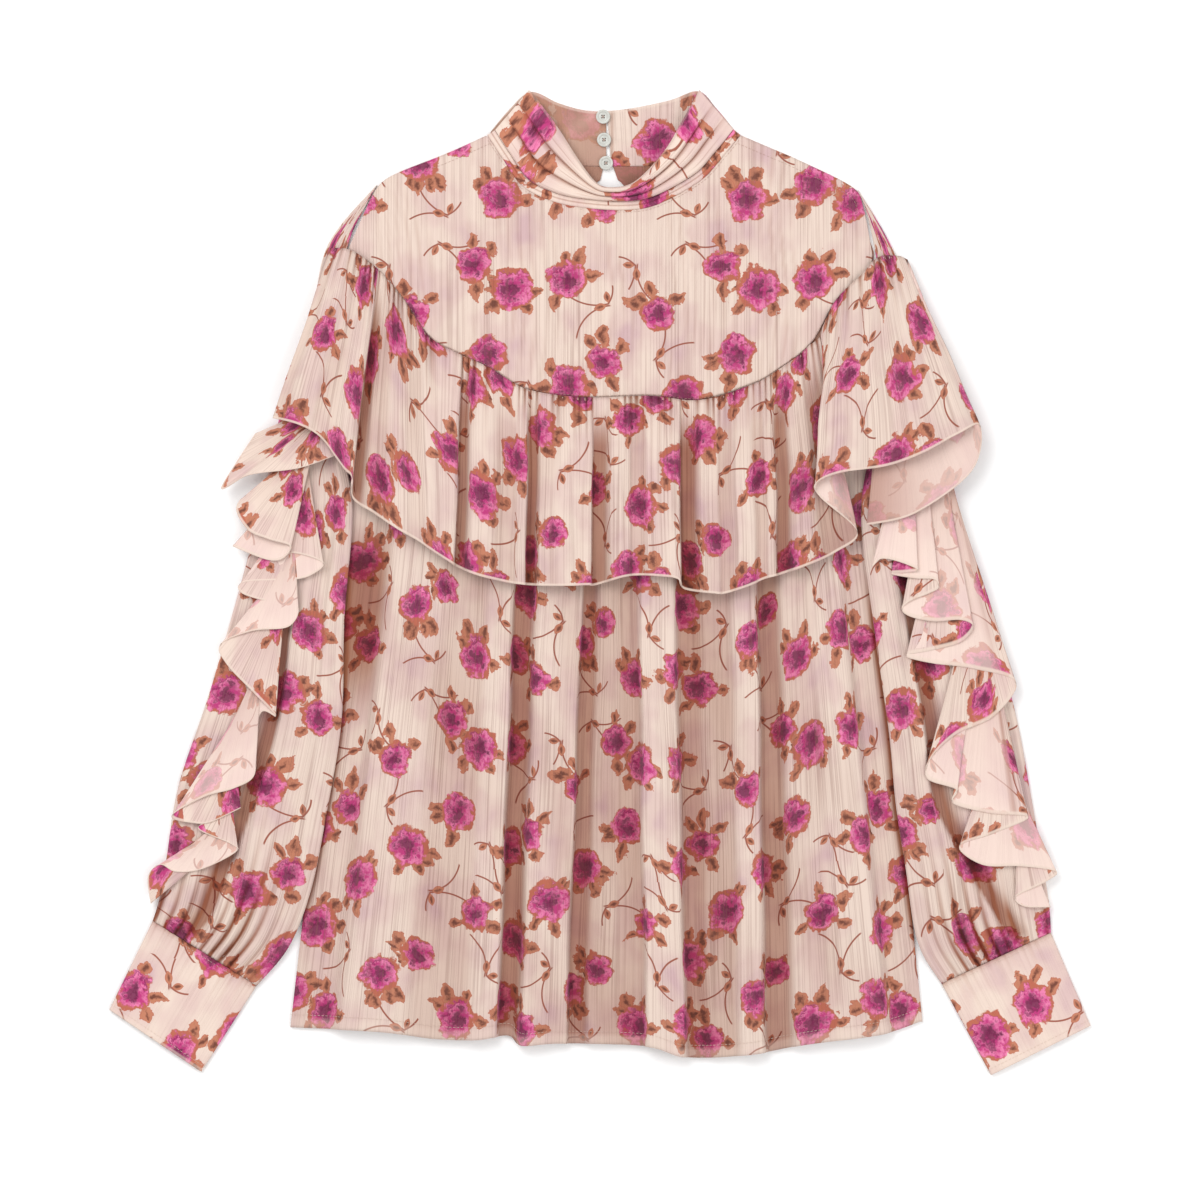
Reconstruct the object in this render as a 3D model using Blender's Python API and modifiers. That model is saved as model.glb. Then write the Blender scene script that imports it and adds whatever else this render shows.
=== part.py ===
"""A long-sleeve ruffled high-neck blouse of crinkled chiffon, laid out flat on its back.

X runs to the right of the laid blouse, Y from the hem to the neck and Z up from the surface it
lies on. The origin is at the bottom centre of its box. All tables are in millimetres. Each row of
a fold table is one crest or valley of the cloth, from the left of the blouse to the right.
"""

import math

import bpy
import bmesh
from mathutils import Vector

MM = 0.001

# Cloth
WALL = 1.2  # thickness of every cloth wall
STEPS_PER_FOLD = 2  # facets from one row of a fold table to the next
SEAM_GAP = 0.3  # gap between two pieces at a seam
FLAT_Z = 2.2  # middle of a cloth that lies on the back panel
BACK_Z = 0.6  # middle of a cloth that lies on the surface

# Body
BODY_STEPS_DOWN = 9
BODY_TOP_DROP = 6.0  # the body's top edge lies this far under the flounce
BODY_TOP_Y = 165.0  # and no higher than this, where the armholes are cut
BODY_HEM_Y = -330.0  # where the folds reach the x_hem of their rows
STRAIGHT_ABOVE = -0.15  # fold lines slant from y = 0 to this share of BODY_HEM_Y above it
FLAT_FOLDS = 0.08  # share of a fold's height that is left above FOLDS_START_Y
FOLDS_START_Y = 90.0  # above this the body is flat, under the flounce
FOLDS_FULL_Y = -110.0  # below this the body's folds have their full height

# Flounce seam, neckline seam and hem, from the blouse's left to its right: (x, y)
FLOUNCE_SEAM = (
    (-196.0, 240.0), (-180.0, 239.0), (-162.0, 227.0), (-143.0, 206.0), (-123.0, 177.0),
    (-103.0, 165.0), (-79.0, 154.0), (-53.0, 139.0), (-12.0, 133.0), (36.0, 134.0),
    (72.0, 131.0), (109.0, 142.0), (127.0, 152.0), (151.0, 171.0), (169.0, 202.0),
    (189.0, 222.0), (201.0, 234.0), (221.0, 234.0),
)
NECK_SEAM = (
    (-81.0, 322.0), (-70.0, 305.0), (-56.0, 285.5), (-36.0, 275.0), (-14.0, 270.0),
    (17.0, 268.0), (41.0, 272.0), (72.0, 289.0), (88.0, 306.0), (101.0, 322.0),
)
HEM = (
    (-226.0, -320.0), (-160.0, -323.0), (-121.0, -328.0), (-90.0, -329.0), (-66.0, -326.0),
    (-56.0, -333.0), (-29.0, -331.5), (34.0, -333.5), (62.0, -341.5), (108.0, -339.5),
    (150.0, -332.0), (203.0, -325.0), (232.0, -316.0),
)

# Neck
NECK_STATIONS = 22  # points along the neckline seam, the same for every piece sewn to it
BAND_WIDTH = 6.5  # the flat band along the neckline seam
COLLAR_PLEATS = 4
COLLAR_STEPS_UP = 8
PLEAT_HEIGHT = 3.2
COLLAR_RISE = 7.0  # how far the draped rim stands above the band
COLLAR_FOOT_Z = 3.4  # middle of the collar's cloth where it is sewn to the band
COLLAR_FLAT_END = 0.12  # share of its length, at each end, over which the pleats die away
TANGENT_STEP = 0.01  # share of the neckline over which its direction is measured
RIM = (  # free top edge of the front collar
    (-51.0, 354.5), (-40.0, 340.0), (-28.0, 323.0), (-16.0, 304.0), (-4.0, 288.0),
    (6.5, 283.5), (25.0, 287.5), (46.0, 309.0), (59.0, 331.0), (71.5, 354.5),
)
BACK_COLLAR_LEFT = (
    (-50.0, 353.0), (-60.0, 345.0), (-66.5, 339.0), (-79.0, 324.0), (-60.0, 301.0),
    (4.6, 300.0), (3.4, 338.8), (-12.0, 340.0), (-30.0, 345.0),
)
BACK_COLLAR_RIGHT = (
    (8.6, 300.0), (80.0, 301.0), (98.0, 324.0), (84.0, 341.0), (71.0, 353.5),
    (50.0, 347.0), (24.0, 341.5), (8.6, 339.5),
)
BUTTON_CENTRES = ((2.2, 335.2), (2.9, 318.6), (4.3, 301.8))
BUTTON_RADIUS = 5.1
BUTTON_RIM_HEIGHT = 2.2
BUTTON_RIM_SLOPE = 0.5  # width of the slope from the dish up to the rim
BUTTON_ROUNDING = 0.6
BUTTON_DISH_DEPTH = 0.7
BUTTON_DISH_RADIUS = 3.2
BUTTON_HOLE_RADIUS = 0.55
BUTTON_HOLE_OFFSET = 1.1
BUTTON_HOLES = 4
BUTTON_HOLE_SIDES = 6
BUTTON_TURN_STEPS = 12
BUTTON_SEAT_Z = 1.6
AXIS_MERGE = 0.00001  # in metres, where the turned outline meets its own axis

# Back panel, from the neck's left round to its right, then the keyhole at the nape
BACK_OUTLINE = (
    (-79.5, 321.0), (-111.0, 307.0), (-144.0, 294.0), (-157.0, 286.0), (-163.0, 276.0),
    (-181.0, 238.0), (-180.0, 130.0), (-174.0, 50.0), (-182.0, -20.0), (-195.0, -110.0),
    (-208.0, -210.0), (-222.0, -316.0), (-120.0, -323.0), (0.0, -328.0), (110.0, -333.0),
    (200.0, -320.0), (229.0, -312.0), (217.0, -210.0), (203.0, -110.0), (191.0, -20.0),
    (185.0, 50.0), (193.0, 130.0), (197.0, 238.0), (184.0, 276.0), (180.0, 283.0),
    (144.0, 301.0), (99.0, 321.0), (81.0, 300.4), (17.0, 299.4), (9.5, 299.4),
)
BACK_NECK_LEFT = ((2.5, 299.4), (-60.0, 300.4))  # its neck edge left of the keyhole
KEYHOLE_CENTRE = (6.5, 279.0)
KEYHOLE_RADIUS = 12.5
KEYHOLE_FROM = 60.0  # angle in degrees where its round begins, right of its slit
KEYHOLE_TURN = 300.0  # and how far round it runs, clockwise
KEYHOLE_TURN_STEPS = 12

YOKE_STEPS_DOWN = 6
YOKE_FLATNESS = 4  # the higher, the nearer to the seam its waves run before they flatten

# Yoke: its outer edge on each side, from the neck to the flounce seam: (x, y)
YOKE_LEFT = ((-81.0, 322.0), (-111.0, 308.5), (-144.0, 295.5), (-157.5, 287.5),
             (-165.0, 276.0), (-180.5, 241.5))
YOKE_RIGHT = ((101.0, 322.0), (122.0, 313.0), (144.0, 303.5), (181.0, 285.0),
              (189.0, 272.0), (196.0, 236.0))
YOKE_WAVES = (  # soft hollows that the hanging cloth leaves: place, size, height
    dict(x=-150.0, y=214.0, width=26.0, length=60.0, height=2.0),
    dict(x=-118.0, y=190.0, width=22.0, length=34.0, height=1.2),
    dict(x=150.0, y=200.0, width=24.0, length=52.0, height=2.4),
    dict(x=40.0, y=160.0, width=70.0, length=30.0, height=0.8),
    dict(x=-40.0, y=250.0, width=60.0, length=24.0, height=0.7),
)

# Body folds: x where the line leaves the flounce and at the hem, and its height
BODY_FOLDS = (
    dict(x_top=-186.0, x_hem=-224.0, height=0.0),
    dict(x_top=-171.0, x_hem=-213.0, height=0.3),
    dict(x_top=-135.0, x_hem=-170.0, height=9.0),
    dict(x_top=-93.0, x_hem=-112.0, height=5.5),
    dict(x_top=-67.0, x_hem=-79.0, height=9.0),
    dict(x_top=-56.0, x_hem=-69.0, height=0.6),
    dict(x_top=-36.0, x_hem=-48.0, height=8.0),
    dict(x_top=-16.0, x_hem=-29.0, height=7.0),
    dict(x_top=-9.0, x_hem=-20.0, height=1.0),
    dict(x_top=6.0, x_hem=0.0, height=4.5),
    dict(x_top=22.0, x_hem=27.0, height=3.6),
    dict(x_top=34.0, x_hem=40.0, height=11.0),
    dict(x_top=47.0, x_hem=55.0, height=10.0),
    dict(x_top=60.0, x_hem=68.0, height=2.0),
    dict(x_top=82.0, x_hem=88.0, height=4.0),
    dict(x_top=108.0, x_hem=112.0, height=9.0),
    dict(x_top=117.0, x_hem=126.0, height=1.4),
    dict(x_top=140.0, x_hem=152.0, height=7.0),
    dict(x_top=164.0, x_hem=196.0, height=9.0),
    dict(x_top=184.0, x_hem=222.0, height=0.2),
    dict(x_top=200.0, x_hem=233.5, height=0.0),
)

# Flounce folds: x on its seam, the free edge's x and y, and the height there over the cloth
# below. drop moves a layer's top down from the seam where the flounce doubles under itself.
FLOUNCE_FOLDS = (
    dict(seam=-194.0, edge=(-235.0, 118.0), height=2.0),
    dict(seam=-184.0, edge=(-216.0, 113.0), height=9.0),
    dict(seam=-176.0, edge=(-200.0, 103.5), height=6.5),
    dict(seam=-165.0, edge=(-184.0, 82.0), height=10.0),
    dict(seam=-161.5, edge=(-178.0, 75.0), height=9.5),
    dict(seam=-158.5, edge=(-177.5, 60.0), height=0.5),
    dict(seam=-152.0, edge=(-163.0, 50.0), height=5.0),
    dict(seam=-145.0, edge=(-145.0, 38.0), height=8.0),
    dict(seam=-135.0, edge=(-131.0, 30.0), height=6.0),
    dict(seam=-122.0, edge=(-118.0, 21.0), height=9.0),
    dict(seam=-101.0, edge=(-107.0, 14.0), height=9.0),
    dict(seam=-97.0, edge=(-102.5, 11.0), height=0.8),
    dict(seam=-87.0, edge=(-88.0, 5.0), height=8.0),
    dict(seam=-64.0, edge=(-67.0, 0.0), height=5.0),
    dict(seam=-54.5, edge=(-56.5, -1.5), height=8.5),
    dict(seam=-49.5, edge=(-51.0, -2.0), height=0.4),
    dict(seam=-38.0, edge=(-39.0, -2.5), height=6.5),
    dict(seam=-22.0, edge=(-22.0, -2.5), height=8.5),
    dict(seam=-8.0, edge=(-9.0, -2.0), height=8.0),
    dict(seam=-2.5, edge=(-3.0, -2.0), height=0.8),
    dict(seam=15.0, edge=(16.0, 3.5), height=8.0),
    dict(seam=27.0, edge=(27.0, 5.0), height=5.0),
    dict(seam=38.0, edge=(41.0, 4.5), height=8.5),
    dict(seam=55.0, edge=(55.5, 2.5), height=8.5),
    dict(seam=60.0, edge=(61.0, -5.0), height=0.4),
    dict(seam=80.0, edge=(82.0, -8.0), height=7.0),
    dict(seam=88.0, edge=(90.0, -8.0), height=4.5),
    dict(seam=102.0, edge=(106.0, -3.0), height=8.0),
    dict(seam=113.0, edge=(117.0, 2.0), height=4.5),
    dict(seam=121.0, edge=(124.0, 4.0), height=6.5),
    dict(seam=127.0, edge=(131.0, 6.0), height=0.8),
    dict(seam=139.0, edge=(147.0, 11.5), height=6.5),
    dict(seam=151.0, edge=(169.0, 21.5), height=2.5),
    dict(seam=158.0, edge=(185.0, 36.0), height=1.5, drop=6.0),
    dict(seam=160.0, edge=(158.0, 61.0), height=7.5, drop=3.0),
    dict(seam=168.0, edge=(155.5, 71.0), height=12.0),
    dict(seam=178.0, edge=(172.0, 78.5), height=13.0),
    dict(seam=196.0, edge=(206.0, 83.5), height=8.5),
    dict(seam=204.0, edge=(232.0, 93.0), height=12.0),
    dict(seam=216.0, edge=(256.0, 106.0), height=9.0),
    dict(seam=221.0, edge=(273.0, 112.0), height=4.0, drop=2.0),
    dict(seam=219.0, edge=(267.0, 80.0), height=2.0, drop=46.0),
    dict(seam=212.0, edge=(226.0, 49.5), height=3.0, drop=60.0),
    dict(seam=205.0, edge=(191.0, 41.0), height=2.0, drop=70.0),
)
FLOUNCE_STEPS_DOWN = 4
FLOUNCE_SEAM_DROP = 0.5  # its top edge lies this far below the seam line
FLOUNCE_ROUNDNESS = 0.8  # below 1, the flounce springs up more sharply from its seam
FLOUNCE_SEAM_Z = 3.8
FLOUNCE_SEAM_Z_AT_SLEEVE = 6.2  # where the seam crosses a sleeve's head
SLEEVE_HEAD_X = (-166.0, 186.0)
SLEEVE_HEAD_SLOPE = 12.0  # length over which the seam climbs onto the head
FLOUNCE_EDGE_Z = 10.8  # height of the cloth that its free edge rests on
FLOUNCE_EDGE_Z_AT_SLEEVE = 14.5

# Sleeves: a row for each section, the inner and outer edge of the flat tube and the height of
# its upper cloth. lap is how far the inner edge lies over the body's side, at lap_z.
SLEEVE_LEFT = (
    dict(inner=(-166.4, 276.2), outer=(-160.5, 286.0), height=3.6, lap=0.0, lap_z=0.8),
    dict(inner=(-182.0, 241.5), outer=(-195.0, 244.0), height=3.8, lap=0.0, lap_z=0.8),
    dict(inner=(-187.0, 190.0), outer=(-207.0, 196.0), height=4.2, lap=0.0, lap_z=0.8),
    dict(inner=(-186.0, 128.0), outer=(-228.0, 128.0), height=4.6, lap=0.0, lap_z=0.8),
    dict(inner=(-184.0, 92.0), outer=(-236.0, 92.0), height=6.0, lap=2.0, lap_z=4.6),
    dict(inner=(-178.0, 51.0), outer=(-243.0, 58.0), height=6.8, lap=6.0, lap_z=4.6),
    dict(inner=(-184.0, -25.0), outer=(-258.0, 0.0), height=8.0, lap=8.0, lap_z=4.6),
    dict(inner=(-186.0, -99.0), outer=(-281.0, -80.0), height=8.0, lap=14.0, lap_z=4.6),
    dict(inner=(-197.0, -167.0), outer=(-303.0, -146.0), height=7.6, lap=11.0, lap_z=4.6),
    dict(inner=(-208.0, -221.0), outer=(-312.0, -200.0), height=6.4, lap=6.0, lap_z=4.6),
    dict(inner=(-224.0, -262.0), outer=(-317.0, -228.0), height=5.4, lap=0.0, lap_z=2.6),
    dict(inner=(-247.2, -290.0), outer=(-321.7, -243.5), height=4.2, lap=0.0, lap_z=1.2),
)
SLEEVE_RIGHT = (
    dict(inner=(190.6, 272.5), outer=(185.5, 282.5), height=3.6, lap=0.0, lap_z=0.8),
    dict(inner=(198.2, 238.5), outer=(211.0, 238.5), height=3.8, lap=0.0, lap_z=0.8),
    dict(inner=(204.0, 190.0), outer=(225.0, 192.0), height=4.2, lap=0.0, lap_z=0.8),
    dict(inner=(205.0, 128.0), outer=(243.0, 126.0), height=4.6, lap=0.0, lap_z=0.8),
    dict(inner=(194.0, 92.0), outer=(249.0, 92.0), height=6.0, lap=9.0, lap_z=4.6),
    dict(inner=(188.0, 45.0), outer=(255.0, 60.0), height=6.4, lap=16.0, lap_z=4.6),
    dict(inner=(197.0, -30.0), outer=(278.0, -15.0), height=8.0, lap=12.0, lap_z=4.6),
    dict(inner=(208.0, -108.0), outer=(299.0, -95.0), height=8.0, lap=8.0, lap_z=4.6),
    dict(inner=(213.0, -160.0), outer=(309.0, -148.0), height=7.6, lap=7.0, lap_z=4.6),
    dict(inner=(220.0, -205.0), outer=(318.0, -200.0), height=6.4, lap=4.0, lap_z=4.6),
    dict(inner=(228.5, -258.0), outer=(323.0, -232.0), height=5.4, lap=2.0, lap_z=4.2),
    dict(inner=(245.8, -288.5), outer=(324.3, -252.0), height=4.2, lap=0.0, lap_z=1.2),
)
SLEEVE_FOLDS = (  # along the sleeve: share of its width from the inner edge, and height
    dict(across=0.0, height=0.0),
    dict(across=0.14, height=2.0),
    dict(across=0.36, height=2.6),
    dict(across=0.52, height=-1.2),
    dict(across=0.72, height=2.2),
    dict(across=1.0, height=0.0),
)
SLEEVE_STATIONS = 12  # points across the upper cloth, and as many across the lower
LAP_MARGIN = 2.0  # the sleeve stays up this far past the body's side
LAP_SLOPE = 7.0  # length over which it comes down to the surface
EDGE_PLY = 2.0  # height of the tube's sides, between the middles of its two plies
LEAST_PLY = 1.8  # and in the deepest fold
FLAT_SLEEVE = 3.0  # a section of this height has no fullness
SLEEVE_FULLNESS = 0.6  # share of the height above it that the upper cloth bulges
SLEEVE_ROUNDNESS = 0.35  # the lower, the squarer the sleeve's shoulders
SLEEVE_FOLDS_FROM = 3.0  # section where its folds begin
SLEEVE_FOLDS_GROW = 3.0  # sections over which they grow
SLEEVE_FOLDS_FADE = 1.5  # and over which they fade to the cuff

# Cuffs, as wrist and opening edges: inner and outer corners
CUFF_LEFT = (((-247.5, -290.5), (-322.0, -244.0)), ((-287.0, -352.0), (-353.0, -307.5)))
CUFF_RIGHT = (((246.0, -289.0), (324.5, -252.5)), ((281.5, -354.5), (353.0, -319.0)))
CUFF_HEIGHT = 4.0
CUFF_STATIONS = 8
CUFF_SECTIONS = 3

# Sleeve ruffles: the seam runs from under the flounce down the sleeve: (x, y)
RUFFLE_SEAM_LEFT = (
    (-194.0, 131.0), (-206.0, 97.0), (-218.0, 50.0), (-224.0, 0.0), (-232.0, -30.0),
    (-248.0, -62.0), (-258.0, -110.0), (-266.0, -160.0), (-278.0, -178.0), (-290.0, -204.0),
)
RUFFLE_SEAM_RIGHT = (
    (216.0, 112.0), (252.0, 80.0), (262.0, 24.0), (273.0, -26.0), (284.0, -62.0),
    (289.0, -112.0), (297.0, -148.0), (307.0, -192.0),
)
# A row for each point of the cascade's free edge, which runs back and forth, with its height and
# how far along the seam it hangs from
RUFFLE_LEFT = (
    dict(along=0.0, edge=(-248.0, 107.0), z=8.5),
    dict(along=5.0, edge=(-261.0, 87.0), z=9.0),
    dict(along=10.0, edge=(-272.0, 67.0), z=12.0),
    dict(along=13.0, edge=(-252.0, 77.0), z=14.0),
    dict(along=16.0, edge=(-216.0, 82.0), z=15.5),
    dict(along=19.0, edge=(-190.0, 91.0), z=16.0),
    dict(along=22.0, edge=(-216.0, 81.0), z=12.0),
    dict(along=25.0, edge=(-259.0, 59.0), z=9.5),
    dict(along=28.0, edge=(-254.0, 39.0), z=14.0),
    dict(along=31.0, edge=(-238.0, 31.0), z=16.0),
    dict(along=34.0, edge=(-222.5, 26.0), z=16.5),
    dict(along=37.0, edge=(-228.0, 17.0), z=14.0),
    dict(along=40.0, edge=(-240.0, 16.5), z=12.0),
    dict(along=43.0, edge=(-264.0, 26.0), z=9.5),
    dict(along=46.0, edge=(-243.0, 19.0), z=9.5),
    dict(along=49.0, edge=(-220.0, 21.0), z=12.0),
    dict(along=52.0, edge=(-199.0, 14.0), z=13.5),
    dict(along=57.0, edge=(-206.0, 6.0), z=12.5),
    dict(along=66.0, edge=(-220.0, 2.0), z=12.0),
    dict(along=77.0, edge=(-256.0, 0.0), z=9.5),
    dict(along=86.0, edge=(-257.0, -8.0), z=10.0),
    dict(along=93.0, edge=(-234.0, -15.0), z=12.0),
    dict(along=98.0, edge=(-217.0, -19.0), z=13.0),
    dict(along=102.0, edge=(-224.0, -32.0), z=14.0),
    dict(along=107.0, edge=(-250.0, -35.0), z=12.5),
    dict(along=117.0, edge=(-273.0, -45.0), z=9.5),
    dict(along=128.0, edge=(-268.0, -59.0), z=11.0),
    dict(along=136.0, edge=(-250.0, -78.0), z=13.0),
    dict(along=143.0, edge=(-233.0, -96.0), z=14.0),
    dict(along=162.0, edge=(-243.0, -93.0), z=11.5),
    dict(along=180.0, edge=(-249.0, -113.0), z=11.5),
    dict(along=194.0, edge=(-248.0, -138.0), z=13.0),
    dict(along=199.0, edge=(-263.0, -148.0), z=12.0),
    dict(along=205.0, edge=(-284.0, -154.0), z=11.0),
    dict(along=224.0, edge=(-308.0, -168.0), z=8.5),
    dict(along=248.0, edge=(-292.0, -173.0), z=9.5),
    dict(along=266.0, edge=(-279.0, -172.0), z=10.5),
    dict(along=274.0, edge=(-258.0, -162.0), z=12.0),
    dict(along=280.0, edge=(-274.0, -170.0), z=10.5),
    dict(along=286.0, edge=(-289.0, -177.0), z=9.5),
    dict(along=293.0, edge=(-265.0, -188.0), z=11.0),
    dict(along=299.0, edge=(-262.0, -194.0), z=11.0),
    dict(along=305.0, edge=(-286.0, -206.0), z=9.5),
    dict(along=312.0, edge=(-305.0, -208.0), z=8.5),
    dict(along=320.0, edge=(-316.0, -203.0), z=8.0),
    dict(along=332.0, edge=(-325.0, -211.0), z=7.5),
    dict(along=350.0, edge=(-323.0, -231.0), z=7.5),
)
RUFFLE_RIGHT = (
    dict(along=0.0, edge=(220.0, 56.0), z=13.6),
    dict(along=2.5, edge=(196.0, 13.0), z=14.6),
    dict(along=5.0, edge=(202.0, 17.0), z=15.0),
    dict(along=7.5, edge=(214.0, 15.0), z=16.0),
    dict(along=10.0, edge=(228.0, 9.0), z=16.5),
    dict(along=12.5, edge=(220.0, 7.0), z=14.0),
    dict(along=15.0, edge=(209.0, 6.0), z=12.0),
    dict(along=17.5, edge=(225.0, 3.0), z=14.0),
    dict(along=20.0, edge=(240.0, 2.0), z=15.0),
    dict(along=22.5, edge=(243.0, -4.0), z=15.0),
    dict(along=25.0, edge=(236.0, -8.0), z=13.8),
    dict(along=27.5, edge=(222.0, -14.0), z=12.5),
    dict(along=30.0, edge=(217.0, -20.0), z=11.0),
    dict(along=32.5, edge=(224.0, -25.0), z=12.0),
    dict(along=35.0, edge=(240.0, -28.0), z=13.5),
    dict(along=37.5, edge=(259.0, -27.0), z=14.0),
    dict(along=40.5, edge=(268.0, -32.0), z=13.5),
    dict(along=43.5, edge=(259.0, -43.0), z=12.5),
    dict(along=46.5, edge=(238.0, -49.0), z=11.5),
    dict(along=49.5, edge=(220.0, -53.0), z=10.5),
    dict(along=53.0, edge=(238.0, -58.0), z=11.5),
    dict(along=58.0, edge=(268.0, -62.0), z=11.5),
    dict(along=68.0, edge=(299.0, -72.0), z=10.0),
    dict(along=105.0, edge=(283.0, -96.0), z=11.0),
    dict(along=122.0, edge=(256.0, -109.0), z=11.5),
    dict(along=132.0, edge=(238.0, -126.0), z=11.0),
    dict(along=142.0, edge=(235.0, -141.0), z=10.5),
    dict(along=154.0, edge=(256.0, -149.0), z=11.5),
    dict(along=166.0, edge=(254.0, -159.0), z=10.5),
    dict(along=177.0, edge=(281.0, -166.0), z=11.0),
    dict(along=194.0, edge=(308.0, -169.0), z=9.5),
    dict(along=218.0, edge=(281.0, -181.0), z=10.5),
    dict(along=232.0, edge=(258.0, -190.0), z=10.0),
    dict(along=242.0, edge=(275.0, -203.0), z=10.5),
    dict(along=252.0, edge=(302.0, -204.0), z=10.0),
    dict(along=264.0, edge=(328.0, -208.0), z=8.5),
    dict(along=279.0, edge=(319.0, -216.0), z=8.5),
    dict(along=296.0, edge=(299.0, -226.0), z=8.5),
    dict(along=311.0, edge=(305.0, -233.0), z=8.0),
    dict(along=325.0, edge=(324.0, -233.5), z=7.5),
)
RUFFLE_SEAM_Z = (9.8, 9.0)  # height of the seam at its top and at its lower end
RUFFLE_SPRING = 0.5  # below 1, the layers part more sharply at the seam
RUFFLE_STEPS_OUT = 4

# Finishes: colour as linear RGB, roughness and metallic value
CHIFFON = dict(colour=(0.80, 0.63, 0.55), roughness=0.75, metallic=0.0)
CHIFFON_INSIDE = dict(colour=(0.52, 0.33, 0.26), roughness=0.8, metallic=0.0)
RUFFLE_CHIFFON = dict(colour=(0.84, 0.66, 0.60), roughness=0.75, metallic=0.0)
PEARL = dict(colour=(0.72, 0.72, 0.66), roughness=0.28, metallic=0.0)


def clear_scene():
    for old in list(bpy.data.objects):
        bpy.data.objects.remove(old, do_unlink=True)


def new_collection(name):
    collection = bpy.data.collections.new(name)
    bpy.context.scene.collection.children.link(collection)
    return collection


def new_material(name, finish):
    material = bpy.data.materials.new(name)
    material.use_nodes = True
    shader = material.node_tree.nodes["Principled BSDF"]
    shader.inputs["Base Color"].default_value = (*finish["colour"], 1.0)
    shader.inputs["Roughness"].default_value = finish["roughness"]
    shader.inputs["Metallic"].default_value = finish["metallic"]
    return material


def ease(share):
    """A smooth step from 0 to 1."""
    share = min(max(share, 0.0), 1.0)
    return share * share * (3.0 - 2.0 * share)


def mix(first, second, share):
    return first + (second - first) * share


def mix_point(first, second, share):
    return tuple(mix(a, b, share) for a, b in zip(first, second))


def height_on(outline, x):
    """The y of an outline at x, on the straight lines between its points."""
    if x <= outline[0][0]:
        return outline[0][1]
    for (x_first, y_first), (x_next, y_next) in zip(outline, outline[1:]):
        if x <= x_next:
            return mix(y_first, y_next, (x - x_first) / (x_next - x_first))
    return outline[-1][1]


def point_along(outline, share):
    """The point at a share of an outline's length."""
    lengths = [math.dist(a, b) for a, b in zip(outline, outline[1:])]
    left = share * sum(lengths)
    for start, end, length in zip(outline, outline[1:], lengths):
        if left <= length:
            return mix_point(start, end, left / length)
        left -= length
    return outline[-1]


def between_rows(rows, column, place):
    """A column's value at a place between rows, level at each crest and valley."""
    row = min(int(place), len(rows) - 2)
    share = ease(place - row)
    return mix(rows[row].get(column, 0.0), rows[row + 1].get(column, 0.0), share)


def line_between_rows(rows, column, place):
    """The same for a plain value or a point, in a straight line from row to row."""
    row = min(int(place), len(rows) - 2)
    first = rows[row].get(column, 0.0)
    second = rows[row + 1].get(column, 0.0)
    share = place - row
    if isinstance(first, tuple):
        return mix_point(first, second, share)
    return mix(first, second, share)


def places_along(rows):
    """Places from the first row of a fold table to its last, evenly divided."""
    return [n / STEPS_PER_FOLD for n in range((len(rows) - 1) * STEPS_PER_FOLD + 1)]


def grid_mesh(name, rows, close_rows=False):
    """A surface through rows of points, left open at its border."""
    across = len(rows[0])
    points = [Vector(point) * MM for row in rows for point in row]
    faces = []
    for row in range(len(rows) - 1):
        for column in range(across if close_rows else across - 1):
            beside = (column + 1) % across
            faces.append((
                row * across + column,
                row * across + beside,
                (row + 1) * across + beside,
                (row + 1) * across + column,
            ))
    mesh = bpy.data.meshes.new(name)
    mesh.from_pydata(points, [], faces)
    mesh.shade_smooth()
    return mesh


def add_cloth(name, rows, material, collection, close_rows=False):
    """One cloth piece: a surface with an even wall to both sides of it."""
    cloth = bpy.data.objects.new(name, grid_mesh(name, rows, close_rows))
    collection.objects.link(cloth)
    wall = cloth.modifiers.new("Wall", "SOLIDIFY")
    wall.thickness = WALL * MM
    wall.offset = 0.0
    cloth.data.materials.append(material)
    return cloth


def add_flat_cloth(name, outline, material, collection):
    """A flat cloth piece cut to an outline, lying on the surface."""
    curve = bpy.data.curves.new(name, "CURVE")
    curve.dimensions = "2D"
    curve.fill_mode = "BOTH"
    curve.extrude = WALL / 2 * MM
    spline = curve.splines.new("POLY")
    spline.points.add(len(outline) - 1)
    spline.use_cyclic_u = True
    for spot, (x, y) in zip(spline.points, outline):
        spot.co = (x * MM, y * MM, 0.0, 1.0)
    cloth = bpy.data.objects.new(name, curve)
    cloth.location.z = BACK_Z * MM
    collection.objects.link(cloth)
    curve.materials.append(material)
    return cloth


def back_outline():
    """The back panel's outline with the keyhole cut in at the nape."""
    centre_x, centre_y = KEYHOLE_CENTRE
    keyhole = []
    for step in range(KEYHOLE_TURN_STEPS + 1):
        turn = math.radians(KEYHOLE_FROM - KEYHOLE_TURN * step / KEYHOLE_TURN_STEPS)
        keyhole.append((centre_x + KEYHOLE_RADIUS * math.cos(turn),
                        centre_y + KEYHOLE_RADIUS * math.sin(turn)))
    return BACK_OUTLINE + tuple(keyhole) + BACK_NECK_LEFT


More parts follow.
